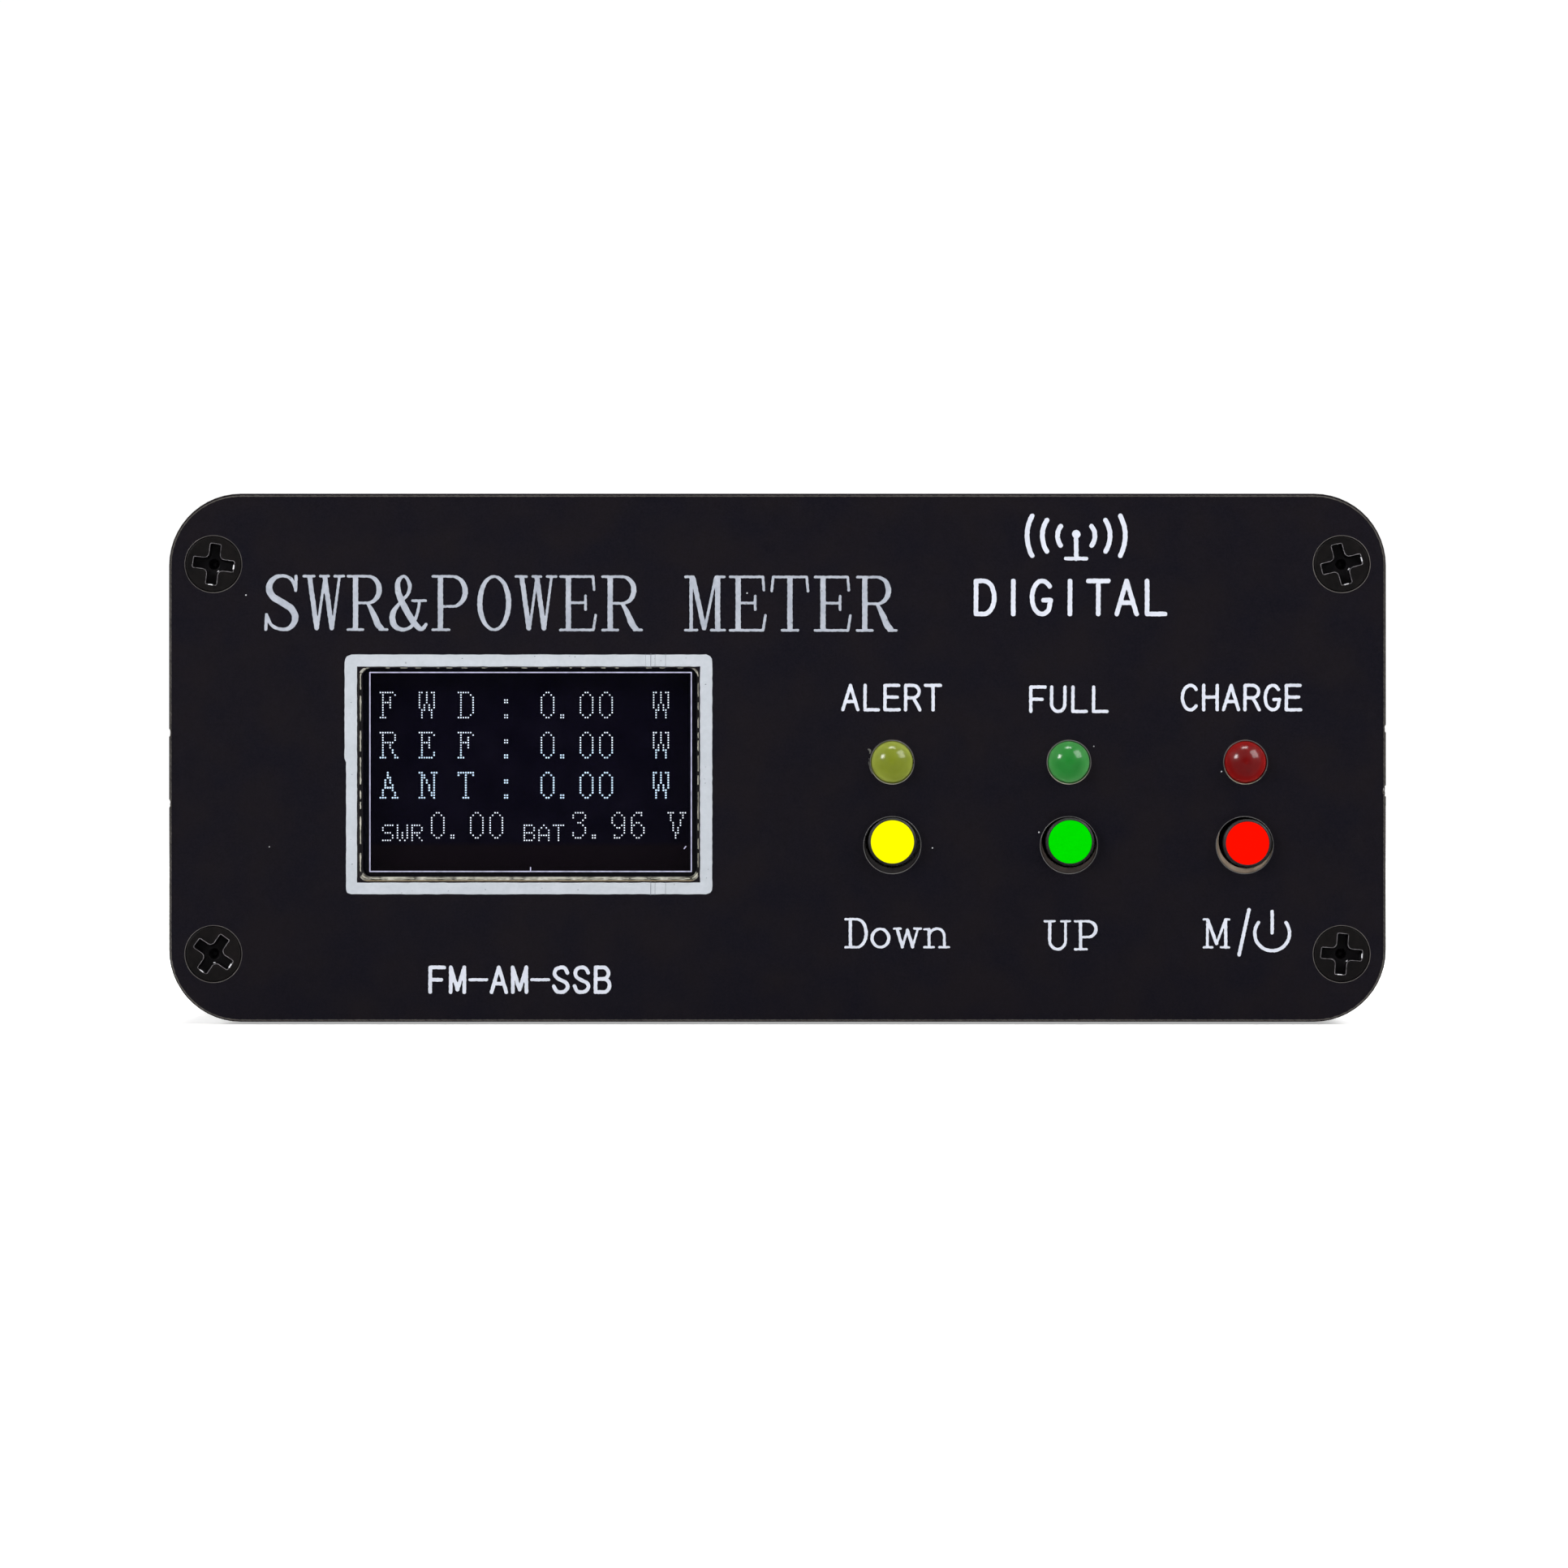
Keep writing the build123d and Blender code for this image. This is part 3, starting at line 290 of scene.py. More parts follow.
# Serif capitals. x runs from -1 to 1 across a letter, y from 0 to 1 up it. The pen radius is in cap heights.
SERIF = {
    "S": [
        smooth_curve([
            (0.72, 0.76, 0.026), (0.52, 0.91, 0.028), (0.08, 0.975, 0.027), (-0.4, 0.93, 0.04),
            (-0.66, 0.78, 0.055), (-0.5, 0.62, 0.058), (0.0, 0.51, 0.058), (0.52, 0.39, 0.058),
            (0.72, 0.23, 0.055), (0.48, 0.07, 0.04), (0.0, 0.03, 0.028), (-0.52, 0.1, 0.028),
            (-0.78, 0.27, 0.026),
        ]),
        *bars(0.027, (0.76, 0.97, 0.74, 0.72), (-0.84, 0.03, -0.8, 0.29)),
    ],
    "W": bars(SLANT, (-0.76, 0.93, -0.4, 0.06), (0.04, 0.93, 0.4, 0.06))
    + bars(THIN, (-0.36, 0.05, 0.0, 0.9), (0.44, 0.05, 0.8, 0.96))
    + heads((-1.08, -0.52), (-0.2, 0.24), (0.56, 1.04)),
    "R": stem(-0.6) + feet((-1.0, -0.2), (0.66, 1.06)) + heads((-1.0, 0.05))
    + bars(THIN, (-0.6, 0.5, 0.05, 0.5)) + [
        bowl(0.05, 0.97, 0.5, 0.6),
        smooth_curve([(0.05, 0.49, 0.026), (0.32, 0.32, 0.046), (0.58, 0.12, 0.055), (0.78, 0.05, 0.042)]),
    ],
    "&": bars(THIN, (0.3, 0.54, 1.0, 0.54)) + [
        smooth_curve([
            (0.68, 0.54, 0.024), (0.56, 0.32, 0.026), (0.28, 0.1, 0.028), (-0.2, 0.03, 0.032),
            (-0.66, 0.11, 0.05),
            (-0.74, 0.3, 0.05), (-0.42, 0.48, 0.028), (0.06, 0.66, 0.028), (0.14, 0.84, 0.034),
            (-0.14, 0.97, 0.024),
            (-0.46, 0.87, 0.042), (-0.42, 0.66, 0.052), (-0.1, 0.42, 0.054), (0.36, 0.16, 0.054),
            (0.76, 0.04, 0.038), (1.02, 0.12, 0.028),
        ]),
    ],
    "P": stem(-0.55) + feet((-0.95, -0.08)) + heads((-0.95, 0.1)) + bars(THIN, (-0.55, 0.44, 0.1, 0.44))
    + [bowl(0.1, 0.97, 0.44, 0.66)],
    "O": [arc(0, 0.5, 0.76, 0.47, 0, 360, side_heavy, 44)],
    "E": stem(-0.5) + bars(THIN, (-0.5, 0.51, 0.36, 0.51), (0.4, 0.63, 0.4, 0.39)) + [
        line(THIN, (-0.92, 0.97), (0.8, 0.97), (0.86, 0.74)),
        line(THIN, (-0.92, 0.03), (0.82, 0.03), (0.94, 0.29)),
    ],
    "M": bars(THIN * 1.3, (-0.72, 0.05, -0.72, 0.95)) + bars(SLANT, (-0.6, 0.93, -0.04, 0.07)) + stem(0.68)
    + bars(THIN, (0.0, 0.05, 0.56, 0.95)) + feet((-1.02, -0.42), (0.34, 1.04))
    + heads((-1.02, -0.6), (0.6, 1.04)),
    "T": stem(0) + feet((-0.42, 0.42)) + [line(THIN, (-0.96, 0.72), (-0.88, 0.97), (0.88, 0.97),
                                               (0.96, 0.72))],
}


def trace(*points):
    """A stroke of the plain letters' own pen."""
    return line(1, *points)


# Plain capitals drawn with one round pen. x runs from -1 to 1 across the letter, y from 0 to 1 up it.
PLAIN = {
    "A": [trace((-1, 0), (0, 1), (1, 0)), trace((-0.62, 0.34), (0.62, 0.34))],
    "B": [
        trace((-0.9, 1), (-0.9, 0)),
        trace((-0.9, 1), (0.1, 1)) + arc(0.1, 0.765, 0.74, 0.235, 90, -90, 1) + trace((-0.9, 0.53)),
        trace((0.1, 0.53)) + arc(0.15, 0.265, 0.85, 0.265, 90, -90, 1) + trace((-0.9, 0)),
    ],
    "C": [arc(0.08, 0.5, 1.05, 0.5, 42, 318, 1, 30)],
    "D": [trace((-0.9, 0), (-0.9, 1), (-0.1, 1)) + arc(-0.1, 0.5, 1.05, 0.5, 90, -90, 1) + trace((-0.9, 0))],
    "E": [trace((0.95, 1), (-0.9, 1), (-0.9, 0), (1, 0)), trace((-0.9, 0.52), (0.75, 0.52))],
    "F": [trace((1, 1), (-0.9, 1), (-0.9, 0)), trace((-0.9, 0.5), (0.6, 0.5))],
    "G": [arc(0.05, 0.5, 1.02, 0.5, 42, 312, 1, 30) + trace((0.92, 0.42), (0.2, 0.42))],
    "H": [trace((-0.9, 0), (-0.9, 1)), trace((0.9, 0), (0.9, 1)), trace((-0.9, 0.52), (0.9, 0.52))],
    "I": [trace((0, 0), (0, 1))],
    "L": [trace((-0.8, 1), (-0.8, 0), (1, 0))],
    "M": [trace((-0.92, 0), (-0.92, 1), (0, 0.1), (0.92, 1), (0.92, 0))],
    "N": [trace((-0.9, 0), (-0.9, 1), (0.9, 0), (0.9, 1))],
    "R": [
        trace((-0.9, 0), (-0.9, 1), (0.1, 1)) + arc(0.1, 0.745, 0.8, 0.255, 90, -90, 1) + trace((-0.9, 0.49)),
        trace((0.15, 0.49), (1, 0)),
    ],
    "S": [
        smooth_curve([
            (0.88, 0.78, 1), (0.55, 0.96, 1), (0, 1, 1), (-0.62, 0.93, 1), (-0.85, 0.75, 1), (-0.55, 0.58, 1),
            (0.1, 0.47, 1), (0.72, 0.37, 1), (0.95, 0.21, 1), (0.6, 0.05, 1), (0, 0, 1), (-0.6, 0.04, 1),
            (-0.95, 0.24, 1),
        ])
    ],
    "T": [trace((-1, 1), (1, 1)), trace((0, 1), (0, 0))],
    "U": [trace((-0.88, 1), (-0.88, 0.3)) + arc(0, 0.3, 0.88, 0.3, 180, 360, 1) + trace((0.88, 1))],
    "V": [trace((-1, 1), (0, 0), (1, 1))],
    "X": [trace((-0.95, 1), (0.95, 0)), trace((-0.95, 0), (0.95, 1))],
    "-": [line(0.8, (-1.15, 0.5), (1.15, 0.5))],
    "5": [
        trace((0.85, 1), (-0.72, 1), (-0.82, 0.56)) + arc(0.02, 0.32, 0.9, 0.32, 135, -150, 1, 22),
    ],
}


def oval_pen(extra):
    """Pen radius for the keys' round letters, a little heavier at the sides."""
    return lambda angle: 0.046 + extra * abs(math.cos(angle))


# Letters with slab serifs for the keys' legends. x and y are in cap heights, the pen radius too.
SLAB = {
    "D": bars(0.062, (-0.2, 0.05, -0.2, 0.95))
    + bars(0.046, (-0.36, 0.96, 0.02, 0.96), (-0.36, 0.04, 0.02, 0.04))
    + [arc(0.02, 0.5, 0.3, 0.46, 90, -90, oval_pen(0.02))],
    "o": [arc(0, 0.34, 0.275, 0.3, 0, 360, oval_pen(0.018), 32)],
    "w": bars(0.06, (-0.34, 0.64, -0.17, 0.05), (0.0, 0.6, 0.17, 0.05))
    + bars(0.044, (-0.17, 0.05, 0.0, 0.6), (0.17, 0.05, 0.34, 0.64))
    + bars(0.042, (-0.44, 0.65, -0.22, 0.65), (0.22, 0.65, 0.44, 0.65)),
    "n": bars(0.058, (-0.24, 0.05, -0.24, 0.62))
    + bars(0.042, (-0.4, 0.63, -0.24, 0.63), (-0.4, 0.04, -0.08, 0.04), (0.1, 0.04, 0.42, 0.04))
    + [arc(0.02, 0.42, 0.24, 0.23, 160, 0, 0.05) + line(0.058, (0.26, 0.05))],
    "U": bars(0.044, (-0.42, 0.96, -0.1, 0.96), (0.12, 0.96, 0.4, 0.96)) + [
        line(0.062, (-0.26, 0.95), (-0.26, 0.32)) + arc(0.0, 0.32, 0.26, 0.28, 180, 360, 0.054)
        + line(0.046, (0.26, 0.95)),
    ],
    "P": bars(0.062, (-0.18, 0.05, -0.18, 0.95))
    + bars(0.044, (-0.36, 0.96, 0.06, 0.96), (-0.36, 0.04, 0.02, 0.04))
    + [arc(0.06, 0.7, 0.27, 0.26, 90, -90, oval_pen(0.02)) + line(0.044, (-0.18, 0.44))],
    "M": bars(0.052, (-0.3, 0.05, -0.3, 0.94)) + bars(0.062, (-0.28, 0.92, 0.0, 0.16), (0.3, 0.05, 0.3, 0.94))
    + bars(0.046, (0.0, 0.16, 0.28, 0.92)) + bars(0.042, (-0.42, 0.96, -0.3, 0.96), (0.3, 0.96, 0.42, 0.96),
                                                  (-0.42, 0.04, -0.14, 0.04), (0.14, 0.04, 0.42, 0.04)),
}


# How far each letter of the title stands off its even pitch
SERIF_NUDGE = {"S": 0.04, "W": 0.05, "R": 0.07, "&": -0.12, "O": 0.07, "M": -0.05, "E": -0.02, "T": -0.03}


def serif_word(text, x, z, cap, half, pitch):
    """Serif capitals from centre x of the first letter, one pitch apart."""
    out = []
    for i, letter in enumerate(text):
        left = x + pitch * i + SERIF_NUDGE.get(letter, 0)
        sink = -0.0018 * pitch * i
        for stroke in SERIF.get(letter, []):
            out.append([(left + px * half, z + sink + py * cap, pen * cap) for px, py, pen in stroke])
    return out


def plain_word(text, x, z, cap, half, pitch, pen):
    """Plain capitals with a round pen, centred on x."""
    first = x - pitch * (len(text) - 1) / 2
    wide, tall = half - pen, cap - 2 * pen
    out = []
    for i, letter in enumerate(text):
        left = first + pitch * i
        for stroke in PLAIN.get(letter, []):
            out.append([(left + px * wide, z + pen + py * tall, pen * k) for px, py, k in stroke])
    return out


def slab_letter(letter, x, z, cap, weight=0.84):
    return [[(x + px * cap, z + py * cap, weight * pen * cap) for px, py, pen in stroke]
            for stroke in SLAB[letter]]


def power_symbol(x, z, radius, pen):
    """A ring open at the top with a short bar through the gap."""
    ring = arc(x, z, radius, radius, 52 + 90, 398, pen, 40)
    return [ring, line(pen, (x, z + 0.05), (x, z + radius + 0.33))]


def wave_sign(x, z):
    """A generic radio sign: an aerial mast with waves leaving it on both sides."""
    strokes = [
        line(0.16, (x, z - 1.25), (x, z + 0.35)),
        line(0.13, (x - 0.75, z - 1.25), (x + 0.75, z - 1.25)),
        line(0.3, (x, z + 0.52), (x + 0.01, z + 0.52)),
    ]
    for n, radius in enumerate((1.35, 2.45, 3.55)):
        spread = 34 - 4 * n
        for way in (0, 180):
            strokes.append(arc(x, z + 0.4, radius, radius * 0.92, way - spread, way + spread, 0.17, 12))
    return strokes


# Printed words: the text, the middle of the word, its base, cap height, half a letter's width, pitch and pen
LEGENDS = {
    "alert_legend_ink": ("ALERT", 8.26, 22.45, 2.0, 0.66, 1.495, 0.117),
    "full_legend_ink": ("FULL", 21.05, 22.33, 2.0, 0.66, 1.495, 0.117),
    "charge_legend_ink": ("CHARGE", 33.55, 22.45, 2.0, 0.66, 1.495, 0.117),
    "modes_legend_ink": ("FM-AM-SSB", -18.655, 2.02, 2.05, 0.665, 1.495, 0.132),
    "word_ink": ("DIGITAL", 21.15, 29.33, 2.72, 0.88, 2.05, 0.165),
}
REAR_WORDS = (("TX", 24, 33.6, 2.0, 0.7, 1.6, 0.14), ("ANT", -24, 33.6, 2.0, 0.7, 1.6, 0.14),
              ("5V", 0, 15.2, 1.7, 0.6, 1.45, 0.12))
# The keys' legends: their base, then each letter and its middle
KEY_WORDS = {
    "down_legend_ink": (5.31, ("D", 5.71), ("o", 7.44), ("w", 9.4), ("n", 11.49)),
    "up_legend_ink": (5.16, ("U", 20.26), ("P", 22.31)),
}
KEY_CAP = 2.2


def print_legends():
    """Everything printed on the panels, in ink."""
    pieces = [ink_piece("title_ink", serif_word("SWR&POWER METER", -35.9, 28.26, 4.1, 1.37, 3.069), on_front)]
    pieces += [ink_piece(name, plain_word(*word), on_front) for name, word in LEGENDS.items()]
    for name, (base, *letters) in KEY_WORDS.items():
        strokes = [s for letter, x in letters for s in slab_letter(letter, x, base, KEY_CAP)]
        pieces.append(ink_piece(name, strokes, on_front))
    mode = slab_letter("M", 31.75, 5.3, KEY_CAP) + bars(0.125, (33.38, 4.85, 34.1, 8.1))
    mode += power_symbol(35.77, 6.4, 1.26, 0.12)
    pieces.append(ink_piece("mode_legend_ink", mode, on_front))
    pieces.append(ink_piece("radio_sign_ink", wave_sign(21.6, 34.75), on_front))
    rear = [stroke for word in REAR_WORDS for stroke in plain_word(*word)]
    pieces.append(ink_piece("rear_legend_ink", rear, on_rear))
    return pieces


def window_frame():
    """The printed white frame round the window, with slightly rough edges."""
    x0, x1, z0, z1 = -31.26, -4.72, 9.23, 26.56
    ix0, ix1, iz0, iz1 = -30.41, -5.6, 10.07, 25.7
    steps, corner, bend_z = 60, 0.42, 18.8
    outer, inner = [], []

    def side(a, b, c, d):
        """Points along one side, from outer corner a to b with the inner edge from c to d."""
        for n in range(steps):
            t = n / steps
            rough = 0.03 * (random.random() - 0.5)
            ox, oz = a[0] + t * (b[0] - a[0]), a[1] + t * (b[1] - a[1])
            if ox < x0 + 1e-6:
                ox += -0.05 if oz > bend_z else 0.06
            cut_x = max(0, corner - min(ox - x0, x1 - ox))
            cut_z = max(0, corner - min(oz - z0, z1 - oz))
            far = math.hypot(cut_x, cut_z)
            pull = max(0, far - corner) / far if cut_x and cut_z else 0
            ox += pull * cut_x * (1 if ox < (x0 + x1) / 2 else -1)
            oz += pull * cut_z * (1 if oz < (z0 + z1) / 2 else -1)
            outer.append((ox + rough, oz + rough))
            inner.append((c[0] + t * (d[0] - c[0]) - rough, c[1] + t * (d[1] - c[1]) - rough))

    outside = [(x0, z0), (x1, z0), (x1, z1), (x0, z1)]
    inside = [(ix0, iz0), (ix1, iz0), (ix1, iz1), (ix0, iz1)]
    for n in range(4):
        m = (n + 1) % 4
        side(outside[n], outside[m], inside[n], inside[m])
    return band("window_frame_ink", outer, inner, on_front, INK)


def frame_nicks():
    """Fine dark cuts and pits in the printed frame."""
    strokes = []
    cuts = ((-9.17, 0.022, (0, 1)), (-8.86, 0.012, (0, 1)), (-8.1, 0.014, (0, 1)), (-9.55, 0.01, (1,)))
    for x, pen, ends in cuts:
        for end in ends:
            low, high = ((9.16, 10.14), (25.62, 26.62))[end]
            strokes.append(line(pen, (x, low), (x + 0.01, high)))
    for n in range(26):
        side = n % 4
        if side < 2:
            x, z = random.uniform(-30.8, -5.2), (9.4, 26.2)[side] + random.uniform(-0.1, 0.35)
        else:
            x, z = (-31.0, -5.2)[side - 2] + random.uniform(-0.1, 0.25), random.uniform(10, 26)
        strokes.append(line(random.uniform(0.01, 0.028), (x, z), (x + random.uniform(0, 0.06), z + 0.01)))
    return ink_piece("window_frame_nicks", strokes, lambda u, v, h: on_front(u, v, h + INK), 0.02, 0.004, 0)


def lip_line():
    """The rubbed, broken line of bare laminate on the bevel round the window, painted bright as the lit
    bevel's highlight.
    """
    ring = rounded_outline(-30.17, -5.73, 10.36, 25.6, 0.62, 10)
    fine = []
    for n, (x, z) in enumerate(ring):
        nx, nz = ring[(n + 1) % len(ring)]
        parts = max(1, round(math.hypot(nx - x, nz - z) / 0.12))
        fine += [(x + (nx - x) * k / parts, z + (nz - z) * k / parts) for k in range(parts)]
    strokes, run = [], []
    for n, (x, z) in enumerate(fine):
        worn = 0.5 + 0.5 * math.sin(0.61 * n + 2.2 * math.sin(0.093 * n)) * math.sin(0.17 * n + 1.3)
        worn += 0.25 * (random.random() - 0.5) - (0.34 if z > 25.3 else 0)
        if worn > 0.3:
            run.append((x, z, 0.016 + 0.04 * min(worn, 1)))
            continue
        if len(run) > 1:
            strokes.append(run)
        run = []
    strokes.append(run if len(run) > 1 else strokes[0])

    def place(u, v, h):
        return on_front(u, v, h - 0.19)

    return ink_piece("window_lip_line", strokes, place, 0.025, 0.13, 0.012)


def panel_edge_highlight():
    """The thin light line just inside the panel's milled edge, a painted highlight along it."""
    strokes = [[(x, z, 0.045) for x, z in rounded_outline(-43.88, 43.88, 0.12, 38.02, 5.05, 14)]]
    strokes[0].append(strokes[0][0])
    return ink_piece("panel_edge_highlight", strokes, on_front, 0.04, 0.008, 0.012)


def cross_outline(x, z, turn, wing=1.51, half=0.41, inner=0.34, outer=0.12):
    """The outline of a cross recess, turned anticlockwise by turn degrees."""
    corner = half + inner
    points = []
    for quarter in range(4):
        part = [(wing - outer + outer * math.cos(a), half - outer + outer * math.sin(a))
                for a in (0, 0.8, math.pi / 2)]
        part += [(corner - inner * math.sin(a), corner - inner * math.cos(a))
                 for a in (0, 0.4, 0.8, 1.2, math.pi / 2)]
        part += [(half - outer + outer * math.cos(a), wing - outer + outer * math.sin(a)) for a in (0, 0.8)]
        spin = math.radians(turn + 90 * quarter)
        c, s = math.cos(spin), math.sin(spin)
        points += [(x + c * u - s * v, z + s * u + c * v) for u, v in part]
    return points + points[:1]


def screw_recess_wear_and_highlights():
    """The front screws' recess rims, rubbed and painted bright as a highlight, and the brightest spots at the
    ends of their wings, painted highlights where the light catches them.
    """

    def place(u, v, h):
        return on_front(u, v, h - 0.02)

    rims, glints = [], []
    for (sx, sz), turn in SCREW_TURNS.items():
        x, z = sx * SCREW_X, SCREW_MID_Z + sz * SCREW_DZ
        rims.append([(u, v, 0.017) for u, v in cross_outline(x, z, turn)])
        # Painted highlights at two wing ends and one inner corner of each recess
        for angle, reach, pen, length in ((0, 1.48, 0.05, 0.3), (-90, 1.49, 0.035, 0.34),
                                          (-48, 0.62, 0.03, 0.12)):
            a = math.radians(turn + angle)
            u, v = x + reach * math.cos(a), z + reach * math.sin(a)
            du, dv = -math.sin(a) * length / 2, math.cos(a) * length / 2
            glints.append(line(pen, (u - du, v - dv), (u + 0.6 * du, v + 0.6 * dv)))
    rim = ink_piece("front_screw_recess_rim_highlights", rims, place, 0.02, 0.012, 0.006)
    glint = ink_piece("front_screw_glints", glints, place, 0.02, 0.016, 0.006)
    return rim, glint


def hole_crescent(name, hole_x, lean_x, lean_z, inner_r):
    """The lit part of the drilled laminate wall inside a key hole: the hole's disc less a disc that leans
    away. Its finish paints it lit or in shade.
    """
    outer_r, top, deep, steps = 2.04, -0.1, -0.3, 240
    reach = []
    for n in range(steps):
        a = 2 * math.pi * n / steps
        along = lean_x * math.cos(a) + lean_z * math.sin(a)
        across = lean_x * math.sin(a) - lean_z * math.cos(a)
        reach.append(along + math.sqrt(inner_r ** 2 - across ** 2))
    shown = [n for n in range(steps // 3, steps // 3 + steps) if reach[n % steps] < outer_r - 0.012]
    verts, faces = [], []
    for n in shown:
        a = 2 * math.pi * n / steps
        for radius, h in ((outer_r, deep), (outer_r, top), (reach[n % steps], top), (reach[n % steps], deep)):
            verts.append(on_front(hole_x + radius * math.cos(a), KEY_HOLE_Z + radius * math.sin(a), h))
    for i in range(len(shown) - 1):
        a, b = 4 * i, 4 * i + 4
        faces += [[a + k, b + k, b + (k + 1) % 4, a + (k + 1) % 4] for k in range(4)]
    last = 4 * (len(shown) - 1)
    faces += [[0, 1, 2, 3], [last + 3, last + 2, last + 1, last]]
    return mesh_object(name, verts, faces)


def lamp_glints():
    """Painted highlights where light is caught along the lower edge of each lamp's hole, and a light grey
    smear left of the first lamp.
    """
    strokes, lit_r = [], 1.585
    for x, first, last in zip(LAMPS.values(), (198, 190, 196), (338, 342, 318)):
        stroke = []
        for n in range(25):
            part = n / 24
            a = math.radians(first + part * (last - first))
            pen = 0.008 + 0.024 * math.sin(math.pi * part) ** 0.7
            stroke.append((x + lit_r * math.cos(a), LAMP_HOLE_Z + lit_r * math.sin(a), pen))
        strokes.append(stroke)
    glint = ink_piece("lamp_hole_glints", strokes, on_front, 0.02, 0.02, 0.003)
    x = LAMPS["alert_lamp"]
    smear = [
        smooth_curve([(x - 1.72, LAMP_Z + 0.9, 0.03), (x - 1.6, LAMP_Z + 0.84, 0.07),
                      (x - 1.6, LAMP_Z + 0.62, 0.05)]),
        smooth_curve([(x - 1.66, LAMP_Z + 0.25, 0.02), (x - 1.64, LAMP_Z - 0.3, 0.05),
                      (x - 1.4, LAMP_Z - 0.9, 0.02)]),
    ]
    glue = ink_piece("lamp_grey_smear", smear, on_front, 0.02, 0.02, 0.02)
    return glint, glue


# ------------------------------------------------------------------- display

DOT_X, DOT_Z = 0.1764, 0.1812
DOT_LEFT, DOT_TOP = -28.715, 24.36

# The readout's dot letters, each as straight runs of dots: column and row of one end, then of the other.
LARGE = {
    "F": [(0, 0, 5, 0), (1, 0, 1, 10), (6, 1, 6, 1), (4, 2, 4, 6), (1, 4, 4, 4), (0, 10, 2, 10)],
    "W": [(0, 0, 1, 0), (5, 0, 6, 0), (0, 0, 0, 6), (3, 0, 3, 4), (6, 0, 6, 6), (2, 5, 2, 7), (4, 5, 4, 7),
          (1, 7, 1, 10), (5, 7, 5, 10)],
    "D": [(0, 0, 4, 0), (1, 0, 1, 10), (5, 1, 6, 2), (6, 2, 6, 8), (5, 9, 6, 8), (0, 10, 4, 10)],
    "R": [(0, 0, 5, 0), (1, 0, 1, 10), (6, 1, 6, 3), (1, 4, 5, 4), (4, 5, 4, 6), (5, 7, 5, 8), (6, 9, 6, 10),
          (0, 10, 2, 10), (6, 10, 7, 10)],
    "E": [(0, 0, 5, 0), (1, 0, 1, 10), (6, 1, 6, 1), (4, 2, 4, 6), (1, 4, 4, 4), (6, 8, 6, 9),
          (0, 10, 5, 10)],
    "A": [(3, 0, 3, 2), (4, 2, 4, 4), (2, 3, 2, 6), (5, 5, 5, 7), (2, 6, 5, 6), (1, 7, 1, 10), (6, 8, 6, 10),
          (0, 10, 2, 10), (5, 10, 7, 10)],
    "N": [(0, 0, 1, 0), (1, 0, 1, 10), (2, 1, 2, 2), (3, 3, 3, 4), (4, 5, 4, 7), (5, 8, 5, 9), (6, 0, 6, 10),
          (5, 0, 7, 0), (0, 10, 2, 10)],
    "T": [(0, 0, 6, 0), (0, 1, 0, 1), (6, 1, 6, 1), (3, 0, 3, 10), (2, 10, 4, 10)],
    "V": [(0, 0, 2, 0), (5, 0, 7, 0), (1, 0, 1, 3), (6, 0, 6, 2), (5, 3, 5, 5), (2, 4, 2, 7), (4, 6, 4, 8),
          (3, 8, 3, 10)],
    "0": [(3, 0, 4, 0), (2, 1, 1, 2), (5, 1, 6, 2), (1, 2, 1, 8), (6, 2, 6, 8), (1, 8, 2, 9), (6, 8, 5, 9),
          (3, 10, 4, 10)],
    "3": [(2, 0, 5, 0), (1, 1, 1, 2), (6, 1, 6, 2), (6, 2, 5, 3), (3, 4, 4, 4), (5, 5, 6, 6), (6, 6, 6, 8),
          (1, 8, 1, 9), (6, 8, 5, 9), (2, 10, 4, 10)],
    "6": [(3, 0, 5, 0), (2, 1, 1, 2), (5, 1, 5, 1), (1, 2, 1, 8), (3, 4, 4, 4), (2, 5, 2, 5), (5, 5, 6, 6),
          (6, 6, 6, 8), (1, 8, 2, 9), (6, 8, 5, 9), (3, 10, 4, 10)],
    "9": [(3, 0, 4, 0), (2, 1, 1, 2), (5, 1, 6, 2), (1, 2, 1, 4), (6, 2, 6, 8), (1, 4, 2, 5), (5, 5, 5, 5),
          (3, 6, 4, 6), (2, 9, 2, 9), (6, 8, 5, 9), (2, 10, 4, 10)],
    ":": [(3, 3, 4, 3), (3, 4, 4, 4), (3, 9, 4, 9), (3, 10, 4, 10)],
    ".": [(1, 9, 2, 9), (1, 10, 2, 10)],
}
SMALL = {
    "S": [(1, 0, 4, 0), (0, 1, 0, 2), (1, 3, 3, 3), (4, 4, 4, 5), (0, 6, 3, 6)],
    "W": [(0, 0, 0, 5), (4, 0, 4, 5), (2, 3, 2, 5), (0, 5, 1, 6), (4, 5, 3, 6)],
    "R": [(0, 0, 0, 6), (0, 0, 3, 0), (4, 1, 4, 2), (0, 3, 3, 3), (2, 4, 4, 6)],
    "B": [(0, 0, 0, 6), (0, 0, 3, 0), (4, 1, 4, 2), (0, 3, 3, 3), (4, 4, 4, 5), (0, 6, 3, 6)],
    "A": [(0, 2, 2, 0), (2, 0, 4, 2), (0, 2, 0, 6), (4, 2, 4, 6), (0, 4, 4, 4)],
    "T": [(0, 0, 4, 0), (2, 0, 2, 6)],
}


def dots_of(font, text, column, row, step):
    """Columns and rows of the lit dots for text."""
    dots = set()
    for i, letter in enumerate(text):
        for a, b, c, d in font.get(letter, []):
            length = max(abs(c - a), abs(d - b), 1)
            for n in range(length + 1):
                dots.add((column + step * i + a + (c - a) * n // length, row + b + (d - b) * n // length))
    return sorted(dots)


